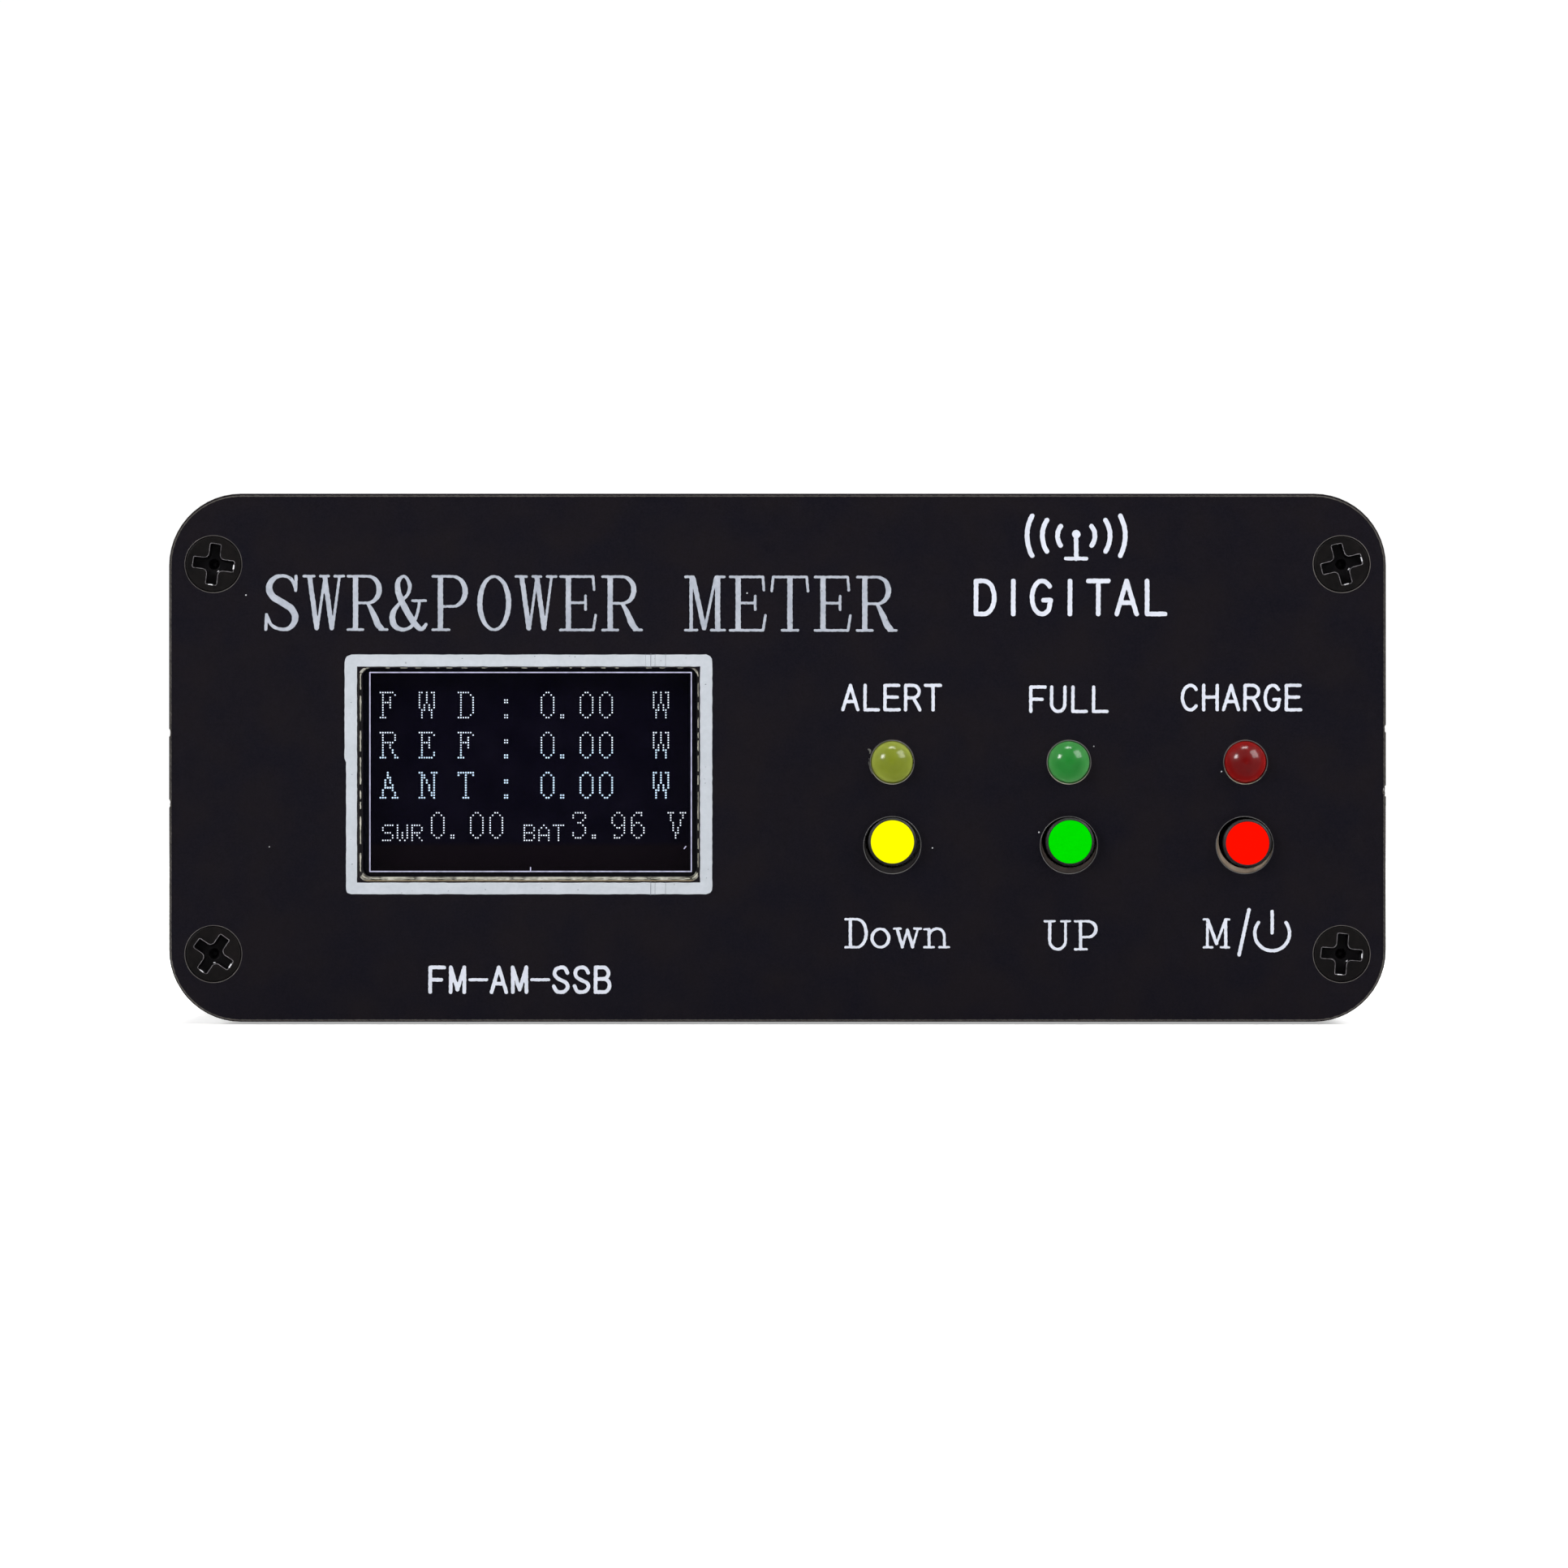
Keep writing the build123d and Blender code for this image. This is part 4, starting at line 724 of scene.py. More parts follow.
def dot_piece(name, dots, size, stretch=1.0):
    """Lit dots as small eight-sided tiles that lie on the display's film."""
    verts, faces = [], []
    half = size / 2
    cut = half * 0.45
    shape = [(half, cut), (cut, half), (-cut, half), (-half, cut), (-half, -cut), (-cut, -half),
             (cut, -half), (half, -cut)]
    for column, row in dots:
        x, z = DOT_LEFT + DOT_X * column, DOT_TOP - DOT_Z * row
        base = len(verts)
        verts += [on_film(x + dx * stretch, z + dz, 0.012) for dx, dz in shape]
        verts += [on_film(x + dx * stretch, z + dz, 0.0) for dx, dz in shape]
        faces += [list(range(base, base + 8))] + joined(base + 8, base, 8)
    return mesh_object(name, verts, faces)


def light_display():
    """The four lines of the readout, each with its glow, which turns bluer half way down the second."""
    lines = []
    for label, row in (("F W D : ", 3), ("R E F : ", 19), ("A N T : ", 35)):
        words = ((label, 0), ("0.00", 65), ("W", 112))
        lines.append([dot for text, column in words for dot in dots_of(LARGE, text, column, row, 8)])
    words = ((SMALL, "SWR", 1, 56, 6), (LARGE, "0.00", 20, 51, 8), (SMALL, "BAT", 59, 56, 6),
             (LARGE, "3.96", 78, 51, 8), (LARGE, "V", 118, 51, 8))
    lines.append([dot for word in words for dot in dots_of(*word)])
    bluer = 26
    return [
        (dot_piece("readout_forward", lines[0], 0.1), "glow_white"),
        (dot_piece("readout_reflected_top", [d for d in lines[1] if d[1] < bluer], 0.105), "glow_white"),
        (dot_piece("readout_reflected_low", [d for d in lines[1] if d[1] >= bluer], 0.119), "glow_blue"),
        (dot_piece("readout_antenna", lines[2], 0.123, 1.06), "glow_blue"),
        (dot_piece("readout_ratio_battery", lines[3], 0.099), "glow_grey"),
    ]


def film_edge():
    """The polariser's cut edge, which catches light as a thin line round the display, and two small marks,
    all painted as glowing highlights.
    """
    x0, x1, z0, z1 = -29.52, -6.19, 10.83, 25.31
    wide = 0.085
    outer = rounded_outline(x0, x1, z0, z1, 0.04, 3)
    inner = rounded_outline(x0 + wide, x1 - wide, z0 + wide, z1 - wide, 0.02, 3)
    edge = band("film_edge", outer, inner, on_film, 0.02)
    marks = (("film_tick", (-17.86, z0 + 0.1), (-17.86, z0 + 0.33)),
             ("film_chip", (-6.75, 12.53), (-6.63, 12.68)))
    return [edge] + [ink_piece(name, [line(0.04, a, b)], on_film, 0.02, 0.018, 0) for name, a, b in marks]


# ------------------------------------------------------------- lathe and thread


def lathe(name, profile, place, steps=28):
    """Turns a profile of radius and height pairs round an axis."""
    verts = [place(x, y, height) for radius, height in profile for x,
             y in circle_outline(0, 0, radius, steps)]
    faces = [face for j in range(len(profile) - 1) for face in joined(j * steps, (j + 1) * steps, steps)]
    return mesh_object(name, verts, faces, True)


THREAD_R, THREAD_DEPTH, THREAD_PITCH = 7.93, 0.56, 25.4 / 24


def socket_body(name, x):
    """A coaxial socket's plated shell: a threaded, hollow collar with four notches, and its square flange."""

    def place(u, v, h):
        return (x - u, REAR + h, MID_Z + v)

    steps, rows = 120, 150
    start, end = 2.0, 14.5
    verts, faces = [], []
    for j in range(rows + 1):
        h = start + (end - start) * j / rows
        for i in range(steps):
            a = 2 * math.pi * i / steps
            phase = ((h - start) / THREAD_PITCH - i / steps) % 1.0
            tooth = max(0.0, min(1.0, 1.6 * (1 - abs(2 * phase - 1)) - 0.3))
            run_out = min(1.0, (h - start) / 1.2, (end - h) / 0.7)
            r = THREAD_R - THREAD_DEPTH * (1 - tooth) * max(run_out, 0.0) - 0.5 * max(0, 1 - (end - h) / 0.6)
            verts.append(place(r * math.cos(a), r * math.sin(a), h))
    for j in range(rows):
        faces += joined(j * steps, (j + 1) * steps, steps)
    inner = [(7.3, end), (6.5, end), (6.1, 14.2), (6.1, 5.5), (4.62, 5.5), (4.62, -3.5), (6.0, -3.5),
             (6.0, start)]
    base = len(verts)
    for r, h in inner:
        for i in range(steps):
            a = 2 * math.pi * i / steps
            notch = 0.55 if h > 14.0 and abs(((i / steps * 4) % 1) - 0.5) > 0.46 else 0.0
            verts.append(place(r * math.cos(a), r * math.sin(a), h - notch))
    rings = [rows * steps] + [base + n * steps for n in range(len(inner))] + [0]
    for a, b in zip(rings, rings[1:]):
        faces += joined(a, b, steps)
    collar = mesh_object(name + "_collar", verts, faces, True)

    half, mouth_r, soft, seat = 12.7, 7.6, 0.25, 0.02
    outline = rounded_outline(-half, half, -half, half, 1.2, 8)
    slim = [(u * (half - soft) / half, v * (half - soft) / half) for u, v in outline]
    mouth = [(mouth_r * u / math.hypot(u, v), mouth_r * v / math.hypot(u, v)) for u, v in outline]
    layers = [(outline, seat), (outline, start - soft), (slim, start), (mouth, start), (mouth, seat),
              (outline, seat)]
    verts = [place(u, v, h) for ring, h in layers for u, v in ring]
    n = len(outline)
    faces = [face for j in range(len(layers) - 1) for face in joined(j * n, (j + 1) * n, n)]
    flange = mesh_object(name + "_flange", verts, faces)
    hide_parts(name)
    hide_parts(name)
    return collar, flange


def usb_contacts():
    """Gold strips on both faces of the charging socket's tongue."""
    tongue_z, half_thick, proud, half_wide, pitch = 11.35, 0.35, 0.03, 0.13, 0.5
    verts, faces = [], []
    for side in (-1, 1):
        face = tongue_z + side * half_thick
        for n in range(12):
            x = pitch * (n - 5.5)
            b = len(verts)
            for px in (x - half_wide, x + half_wide):
                for py in (46.4, 50.0):
                    verts += [(px, py, face), (px, py, face + side * proud)]
            faces += [[b + 1, b + 3, b + 7, b + 5], [b, b + 1, b + 5, b + 4], [b + 2, b + 6, b + 7, b + 3],
                      [b, b + 2, b + 3, b + 1], [b + 4, b + 5, b + 7, b + 6]]
    return mesh_object("charging_contacts", verts, faces)


def lamp_insides(name, x):
    """The lead frame's cup and post, which show through a lamp's tinted dome."""
    base_y = -47.4

    def place(u, v, h):
        return (x + u, base_y - h, LAMP_Z + v)

    cup = [(0.02, 1.35), (0.18, 1.36), (0.3, 1.7), (0.52, 2.05), (0.62, 2.06), (0.64, 1.5), (0.3, 1.1),
           (0.02, 1.05)]
    cup_piece = lathe(name + "_cup", cup, lambda u, v, h: place(u + 0.35, v, h))
    outline = rounded_outline(-1.15, -0.42, -0.3, 0.3, 0.12, 4)
    n = len(outline)
    verts = [place(u, v, 1.95) for u, v in outline] + [place(u, v, 1.0) for u, v in outline]
    faces = [list(range(n))] + joined(n, 0, n)
    return [cup_piece, mesh_object(name + "_post", verts, faces)]


# ----------------------------------------------------------------- materials


def srgb(*levels):
    """A linear colour from the 0 to 255 levels a screen shows."""
    out = [((c / 255 + 0.055) / 1.055) ** 2.4 if c > 10 else c / 255 / 12.92 for c in levels]
    return (*out, 1.0)


class Shader:
    """A procedural material in the making. Noise scales are features per millimetre."""

    def __init__(self, name):
        self.material = bpy.data.materials.new(name)
        self.material.use_nodes = True
        self.tree = self.material.node_tree
        self.main = next(n for n in self.tree.nodes if n.type == "BSDF_PRINCIPLED")
        self.place = self.add("ShaderNodeTexCoord").outputs["Object"]

    def add(self, kind, **settings):
        node = self.tree.nodes.new(kind)
        for key, value in settings.items():
            setattr(node, key, value)
        return node

    def feed(self, socket, value):
        """Joins a value, colour or another node's output to an input."""
        if isinstance(value, bpy.types.NodeSocket):
            self.tree.links.new(value, socket)
        else:
            socket.default_value = value

    def set(self, **values):
        """Sets inputs of the main shader, with underscores for spaces in their names."""
        for key, value in values.items():
            self.feed(self.main.inputs[key.replace("_", " ")], value)

    def mapped(self, scale, stretch=(1, 1, 1)):
        node = self.add("ShaderNodeMapping")
        self.feed(node.inputs["Vector"], self.place)
        node.inputs["Scale"].default_value = [1000 * scale * s for s in stretch]
        return node.outputs[0]

    def noise(self, scale, detail=3.0, stretch=(1, 1, 1)):
        node = self.add("ShaderNodeTexNoise")
        self.feed(node.inputs["Vector"], self.mapped(scale, stretch))
        node.inputs["Scale"].default_value = 1.0
        node.inputs["Detail"].default_value = detail
        return node.outputs["Fac"]

    def cells(self, scale):
        """Distance to the nearest of many scattered points."""
        node = self.add("ShaderNodeTexVoronoi")
        self.feed(node.inputs["Vector"], self.mapped(scale))
        node.inputs["Scale"].default_value = 1.0
        return node.outputs["Distance"]

    def weave(self, scale):
        """Crossed threads on faces that look along Y."""
        waves = []
        for axis in ("X", "Z"):
            node = self.add("ShaderNodeTexWave", bands_direction=axis)
            self.feed(node.inputs["Vector"], self.mapped(scale))
            node.inputs["Scale"].default_value = 0.314
            node.inputs["Distortion"].default_value = 0.6
            waves.append(node.outputs["Fac"])
        return self.math("MULTIPLY", waves[0], waves[1])

    def math(self, kind, a, b=0.0):
        node = self.add("ShaderNodeMath", operation=kind)
        self.feed(node.inputs[0], a)
        self.feed(node.inputs[1], b)
        return node.outputs[0]

    def span(self, value, low, high, start=0.0, end=1.0):
        """value from low to high becomes start to end, and stops there."""
        node = self.add("ShaderNodeMapRange")
        for socket, v in zip(node.inputs, (value, low, high, start, end)):
            self.feed(socket, v)
        return node.outputs[0]

    def drift(self, scale, detail, low=0.3, high=0.7, start=0.0, end=1.0, stretch=(1, 1, 1)):
        """Noise whose middle values, from low to high, are spread over start to end."""
        return self.span(self.noise(scale, detail, stretch), low, high, start, end)

    def times(self, a, b):
        return self.math("MULTIPLY", a, b)

    def distance(self, a, b):
        return self.math("SQRT", self.math("ADD", self.times(a, a), self.times(b, b)))

    def mix(self, share, a, b):
        node = self.add("ShaderNodeMix", data_type="RGBA")
        self.feed(node.inputs[0], share)
        self.feed(node.inputs[6], a)
        self.feed(node.inputs[7], b)
        return node.outputs[2]

    def bump(self, height, strength, depth, normal=None):
        """Fine relief. depth is in millimetres."""
        node = self.add("ShaderNodeBump")
        self.feed(node.inputs["Height"], height)
        node.inputs["Strength"].default_value = strength
        node.inputs["Distance"].default_value = depth * MM
        if normal is not None:
            self.feed(node.inputs["Normal"], normal)
        return node.outputs[0]

    def rounded(self, radius):
        """The normal with its edges rounded, and how close to an edge each point is."""
        bevel = self.add("ShaderNodeBevel", samples=6)
        bevel.inputs["Radius"].default_value = radius * MM
        flat = self.add("ShaderNodeNewGeometry").outputs["Normal"]
        dot = self.add("ShaderNodeVectorMath", operation="DOT_PRODUCT")
        self.feed(dot.inputs[0], bevel.outputs[0])
        self.feed(dot.inputs[1], flat)
        return bevel.outputs[0], self.span(dot.outputs["Value"], 0.995, 0.86)

    def coordinates(self):
        """Position in millimetres."""
        node = self.add("ShaderNodeSeparateXYZ")
        self.feed(node.inputs[0], self.mapped(1.0))
        return node.outputs

    def facing(self, axis):
        """How far the surface faces along an axis, whichever way."""
        node = self.add("ShaderNodeSeparateXYZ")
        self.feed(node.inputs[0], self.add("ShaderNodeNewGeometry").outputs["True Normal"])
        return self.math("ABSOLUTE", node.outputs[axis])


def finish(name, colour, other, grain, rough, metal=0.0, bump=0.3, depth=0.01, stretch=(1, 1, 1), edge=None,
           radius=0.1, spots=None, hollow=None, **extra):
    """A finish of two tones that drift into each other, with uneven roughness, fine relief and worn edges.

    hollow is a distance from the middle along Y, within which the paint is the colour that follows it: a
    painted shade, as in the screws' recesses.
    """
    s = Shader(name)
    tone = s.drift(grain, 4, stretch=stretch)
    drift = s.drift(grain / 9, 2, 0.35, 0.65)
    paint = s.mix(s.times(s.math("ADD", tone, drift), 0.5), srgb(*colour), srgb(*other))
    if spots:
        paint = s.mix(s.span(s.cells(spots[0]), 0.16, 0.07), paint, srgb(*spots[1]))
    normal, near = s.rounded(radius)
    if edge:
        worn = s.times(near, s.drift(grain / 3, 4, 0.38, 0.6, 0.25, 1.0))
        paint = s.mix(worn, paint, srgb(*edge))
    # Painted shade: a darker colour inside the hollow
    if hollow:
        inside = s.math("LESS_THAN", s.math("ABSOLUTE", s.coordinates()[1]), hollow[0])
        paint = s.mix(inside, paint, srgb(*hollow[1]))
    s.set(Base_Color=paint, Metallic=metal, Roughness=s.drift(grain * 1.7, 3, 0.3, 0.7, *rough, stretch))
    s.set(Normal=s.bump(s.noise(grain * 2.3, 5, stretch), bump, depth, normal), **extra)
    return s.material


FINISHES = {
    "case_anodised": ((22, 22, 25), (31, 31, 34), 1.6, (0.34, 0.5), 0.0, 0.3, 0.012),
    "black_steel": ((10, 9, 10), (24, 20, 20), 3.0, (0.35, 0.55), 0.2, 0.15, 0.005),
    "display_glass": ((10, 10, 20), (16, 16, 28), 3.0, (0.06, 0.14), 0.0, 0.05),
    "white_tape": ((214, 214, 208), (232, 232, 228), 3.0, (0.5, 0.7)),
    "blue_board": ((16, 44, 110), (24, 60, 140), 2.0, (0.25, 0.4)),
    "green_board": ((12, 74, 40), (20, 96, 54), 2.0, (0.25, 0.4)),
    "amber_film": ((170, 96, 22), (196, 120, 34), 2.0, (0.2, 0.35)),
    "black_plastic": ((20, 20, 21), (34, 34, 35), 3.0, (0.4, 0.6)),
    "gold_pins": ((206, 164, 84), (226, 188, 110), 5.0, (0.2, 0.35), 1.0),
    "tinned_metal": ((176, 176, 174), (204, 204, 200), 4.0, (0.25, 0.45), 1.0),
    "switch_metal": ((180, 180, 182), (206, 206, 206), 4.0, (0.2, 0.4), 1.0),
    "can_aluminium": ((184, 186, 190), (208, 210, 214), 3.0, (0.25, 0.4), 1.0),
    "resistor_coat": ((38, 92, 130), (56, 112, 150), 3.0, (0.3, 0.5)),
    "diode_glass": ((190, 96, 50), (214, 128, 76), 3.0, (0.06, 0.16)),
    "copper": ((190, 108, 66), (214, 136, 92), 3.0, (0.25, 0.45), 1.0),
    "white_plastic": ((226, 222, 210), (240, 236, 226), 2.0, (0.3, 0.5)),
    "ferrite": ((58, 58, 62), (84, 84, 88), 6.0, (0.55, 0.8), 0.0, 0.6, 0.03),
    "enamelled_wire": ((150, 70, 28), (186, 96, 44), 3.0, (0.18, 0.32), 0.8),
    "foil_pouch": ((182, 184, 188), (206, 208, 212), 0.7, (0.25, 0.42), 1.0, 0.5, 0.08),
    "red_insulation": ((170, 20, 20), (196, 34, 30), 2.0, (0.35, 0.5)),
    "black_insulation": ((18, 18, 18), (32, 32, 32), 2.0, (0.35, 0.5)),
    "plated_brass": ((186, 186, 183), (200, 199, 195), 1.2, (0.2, 0.3), 1.0, 0.05, 0.003),
    "contact_metal": ((196, 168, 104), (220, 196, 138), 2.0, (0.18, 0.28), 1.0, 0.05, 0.003),
    "bright_steel": ((170, 172, 176), (196, 198, 202), 2.0, (0.2, 0.32), 1.0, 0.06, 0.003),
    "nick": ((70, 78, 92), (110, 116, 128), 3.0, (0.5, 0.7)),
    # Painted highlight along the panel's edge
    "edge_line": ((52, 48, 44), (84, 80, 76), 0.5, (0.4, 0.6)),
    # The next two are painted highlights on the front screws: their recess rims, also rubbed, and the glints
    # at their wings' ends
    "recess_rim_highlight": ((76, 74, 77), (146, 142, 146), 1.3, (0.3, 0.5)),
    "glint": ((170, 170, 174), (236, 236, 240), 2.5, (0.3, 0.5)),
    # Three copies of the drilled laminate: painted lit, half in shade and in shade
    "drilled_wall_lit": ((116, 101, 86), (164, 146, 126), 1.5, (0.5, 0.7)),
    "drilled_wall_half_shaded": ((52, 44, 40), (74, 62, 54), 1.5, (0.5, 0.7)),
    "drilled_wall_shaded": ((26, 22, 24), (38, 32, 32), 1.5, (0.5, 0.7)),
    # Painted highlight along the lower edge of the lamps' holes
    "lamp_rim_highlight": ((120, 120, 104), (176, 174, 156), 1.2, (0.4, 0.6)),
    "glue": ((62, 62, 60), (104, 104, 98), 2.2, (0.3, 0.5)),
    # Bare laminate on the window's bevel, painted bright as lit
    "lip_line": ((126, 124, 112), (214, 212, 196), 1.6, (0.5, 0.7)),
    "dust": ((170, 172, 180), (200, 202, 206), 3.0, (0.6, 0.8)),
    # The next two are the rims round holes and screws: bare edge, painted lighter as a highlight
    "rim": ((78, 78, 80), (128, 126, 124), 0.9, (0.35, 0.5), 0.0, 0.2),
    "screw_rim_highlight": ((74, 70, 70), (124, 120, 115), 0.9, (0.35, 0.5), 0.2, 0.2),
}
ALONG_Y = (6, 0.12, 6)
# What else some have: a stretched grain, worn edges and their radius in millimetres, spots, a hollow painted
# darker as shade
EXTRAS = {
    "case_anodised": dict(stretch=ALONG_Y, edge=(64, 64, 68), radius=0.14, Specular_IOR_Level=0.35),
    "black_steel": dict(edge=(66, 62, 62), radius=0.08, hollow=(51.4, (13, 11, 14)), Specular_IOR_Level=0.25),
    "display_glass": dict(edge=(120, 140, 150), radius=0.06),
    "blue_board": dict(edge=(170, 160, 120)),
    "green_board": dict(edge=(170, 160, 120)),
    "black_plastic": dict(edge=(60, 60, 60)),
    "resistor_coat": dict(spots=(0.5, (150, 60, 40))),
    "white_plastic": dict(edge=(246, 244, 240)),
    "plated_brass": dict(edge=(226, 225, 220), radius=0.1),
    "contact_metal": dict(edge=(240, 224, 180), radius=0.08),
    "bright_steel": dict(edge=(230, 232, 236), radius=0.08),
}


def panel_finish(name):
    """Black solder mask over woven glass board. Drilled and milled walls show the bare laminate; in the
    window the bevel is painted cream as lit and the walls dark as in shade.
    """
    s = Shader(name)
    x, _, z = s.coordinates()
    blotch = s.drift(0.25, 3, 0.36, 0.64)
    speck = s.drift(7, 2)
    mask = s.mix(blotch, srgb(11, 10, 21), srgb(19, 15, 20))
    mask = s.mix(s.times(speck, 0.5), mask, srgb(26, 22, 30))
    fibre = s.drift(5, 3, stretch=(1, 5, 1))
    bare = s.mix(fibre, srgb(92, 80, 60), srgb(134, 120, 94))
    streak = s.drift(1.1, 4, 0.36, 0.6)
    cream = s.mix(streak, srgb(62, 60, 53), srgb(184, 183, 172))
    in_x = s.math("LESS_THAN", s.math("ABSOLUTE", s.math("ADD", x, -WINDOW_X)), WINDOW_HALF[0])
    in_z = s.math("LESS_THAN", s.math("ABSOLUTE", s.math("SUBTRACT", z, WINDOW_Z)), WINDOW_HALF[1])
    in_window = s.times(in_x, in_z)
    # Painted light and shade in the window: the bevel cream as lit laminate, the walls dark as laminate in
    # shade
    shaded = s.mix(s.math("LESS_THAN", s.facing(1), 0.35), cream, srgb(30, 28, 27))
    sides = s.mix(s.math("GREATER_THAN", s.facing(2), 0.3), srgb(24, 22, 24), shaded)
    wall = s.mix(in_window, bare, sides)
    side_x = s.math("SUBTRACT", s.math("ABSOLUTE", x), SCREW_X)
    side_z = s.math("SUBTRACT", s.math("ABSOLUTE", s.math("SUBTRACT", z, SCREW_MID_Z)), SCREW_DZ)
    reach = s.distance(side_x, side_z)
    clear_of_screw = s.math("GREATER_THAN", reach, SCREW_SEAT_R)
    is_wall = s.times(s.math("LESS_THAN", s.facing(1), 0.93), clear_of_screw)
    normal, near = s.rounded(0.11)
    outer = s.times(s.times(near, clear_of_screw), s.drift(0.8, 3, 0.3, 0.6, 0.35, 1.0))
    paint = s.mix(s.times(outer, 0.7), mask, srgb(92, 84, 76))
    s.set(Base_Color=s.mix(is_wall, paint, wall), Specular_IOR_Level=0.12)
    s.set(Roughness=s.drift(3, 3, 0.3, 0.7, 0.42, 0.58))
    relief = s.math("ADD", s.times(s.weave(2.2), 0.5), s.noise(9, 4))
    s.set(Normal=s.bump(relief, 0.16, 0.012, normal))
    return s.material


def ink_finish(name, light, shade):
    """Silk-screened ink, a little uneven in tone and thickness."""
    s = Shader(name)
    tone = s.drift(4, 4)
    patch = s.drift(0.9, 2)
    paint = s.mix(s.times(s.math("ADD", tone, patch), 0.5), srgb(*shade), srgb(*light))
    gap = s.span(s.cells(1.1), 0.1, 0.05, 0.0, 0.5)
    s.set(Base_Color=s.mix(gap, paint, srgb(90, 90, 96)), Roughness=s.span(tone, 0, 1, 0.4, 0.6))
    s.set(Specular_IOR_Level=0.3, Normal=s.bump(s.noise(8, 3), 0.25, 0.01))
    return s.material


def glow_finish(name, colour, strength):
    """A lit dot of the display, a little brighter in its middle."""
    s = Shader(name)
    flicker = s.drift(2.2, 2, 0.3, 0.7, 0.75, 1.15)
    s.set(Base_Color=srgb(20, 22, 30), Roughness=0.4, Emission_Color=srgb(*colour))
    s.set(Emission_Strength=s.times(flicker, strength))
    return s.material


def key_finish(name, colour):
    """Bright moulded cap, painted with a glow of its own colour, so it looks the same tone in any light."""
    s = Shader(name)
    tone = s.drift(2, 3)
    paint = s.mix(tone, colour, tuple(0.97 * c for c in colour[:3]) + (1.0,))
    # Painted glow: the cap gives off light of its own colour
    s.set(Base_Color=s.mix(0.7, paint, (0, 0, 0, 1)), Emission_Color=paint, Emission_Strength=0.75)
    s.set(Roughness=s.span(tone, 0, 1, 0.5, 0.6), Specular_IOR_Level=0.0,
          Normal=s.bump(s.noise(6, 3), 0.1, 0.005))
    return s.material


def lamp_finish(name, light, deep, centre):
    """Tinted diffusing epoxy with a glossy skin: lighter where it faces the eye, deeper in its heart."""
    s = Shader(name)
    cloud = s.drift(0.8, 3)
    rim = s.add("ShaderNodeLayerWeight")
    rim.inputs["Blend"].default_value = 0.35
    share = s.times(s.span(rim.outputs["Facing"], 0.1, 0.8), s.span(cloud, 0, 1, 0.55, 1.0))
    x, _, z = s.coordinates()
    aside = s.math("DIVIDE", s.math("SUBTRACT", x, centre), 0.5)
    above = s.math("DIVIDE", s.math("SUBTRACT", z, LAMP_Z + 0.28), 0.62)
    far = s.distance(aside, above)
    heart = s.times(s.span(far, 0.5, 1.25, 1.0, 0.0), s.drift(2.2, 3, 0.3, 0.7, 0.6, 1.0))
    paint = s.mix(heart, s.mix(share, srgb(*deep), srgb(*light)), srgb(*deep))
    s.set(Base_Color=paint, Transmission_Weight=0.3, Roughness=s.span(cloud, 0, 1, 0.16, 0.24), IOR=1.5)
    s.set(Coat_Weight=0.2, Coat_Roughness=0.14, Emission_Color=paint, Emission_Strength=0.1)
    s.set(Specular_IOR_Level=0.32)
    s.set(Subsurface_Weight=0.25, Subsurface_Radius=(0.002, 0.002, 0.002), Subsurface_Scale=0.5)
    s.set(Normal=s.bump(s.noise(1.4, 2), 0.06, 0.02))
    return s.material


def polariser_finish(name):
    """Dark glossy film, a shade warmer below the last line of the readout."""
    s = Shader(name)
    _, _, z = s.coordinates()
    low = s.span(z, 12.7, 12.95, 1.0, 0.0)
    haze = s.drift(0.4, 3)
    paint = s.mix(haze, srgb(5, 4, 14), srgb(9, 7, 20))
    s.set(Base_Color=s.mix(low, paint, srgb(13, 8, 14)), Specular_IOR_Level=0.22)
    s.set(Roughness=s.span(haze, 0, 1, 0.12, 0.2), Normal=s.bump(s.noise(2, 2), 0.04, 0.01))
    return s.material


def floor_finish():
    """Pale paper, even out to the horizon, and dim in reflections so that black parts stay black."""
    s = Shader("pale_floor_finish")
    tone = s.drift(0.01, 2)
    paint = s.mix(tone, srgb(244, 244, 244), srgb(250, 250, 250))
    path = s.add("ShaderNodeLightPath").outputs
    x, y, _ = s.coordinates()
    far = s.distance(x, y)
    glow = s.times(s.span(far, 250, 900, 0.45, 1.2), path["Is Camera Ray"])
    s.set(Base_Color=s.mix(path["Is Glossy Ray"], paint, srgb(90, 90, 92)), Roughness=0.9)
    s.set(Specular_IOR_Level=0.0, Emission_Color=paint, Emission_Strength=glow)
    return s.material


# Two tones of ink; a dot's colour and strength; a key's colour; a lamp's light and deep tones and where it is
INKS = {
    "ink": ((216, 220, 231), (201, 205, 217)),
    "frame_ink": ((192, 197, 204), (180, 186, 193)),
    "title_ink": ((182, 187, 197), (154, 160, 173)),
}
GLOWS = {
    "glow_white": ((206, 218, 232), 1.58),
    "glow_grey": ((208, 216, 228), 1.62),
    "glow_blue": ((190, 214, 236), 1.36),
    # Painted highlight: the film's edge and its marks glow
    "film_edge": ((196, 196, 224), 0.95),
}
KEYS = {
    "key_yellow": (1.0, 1.0, 0.0, 1.0),
    "key_green": (0.0, 0.68, 0.0, 1.0),
    "key_red": (1.0, 0.004, 0.0, 1.0),
}
DOMES = {
    "lamp_yellow": ((190, 202, 100), (128, 140, 34), LAMPS["alert_lamp"]),
    "lamp_green": ((116, 190, 118), (36, 134, 50), LAMPS["full_lamp"]),
    "lamp_red": ((192, 40, 38), (112, 6, 6), LAMPS["charge_lamp"]),
}


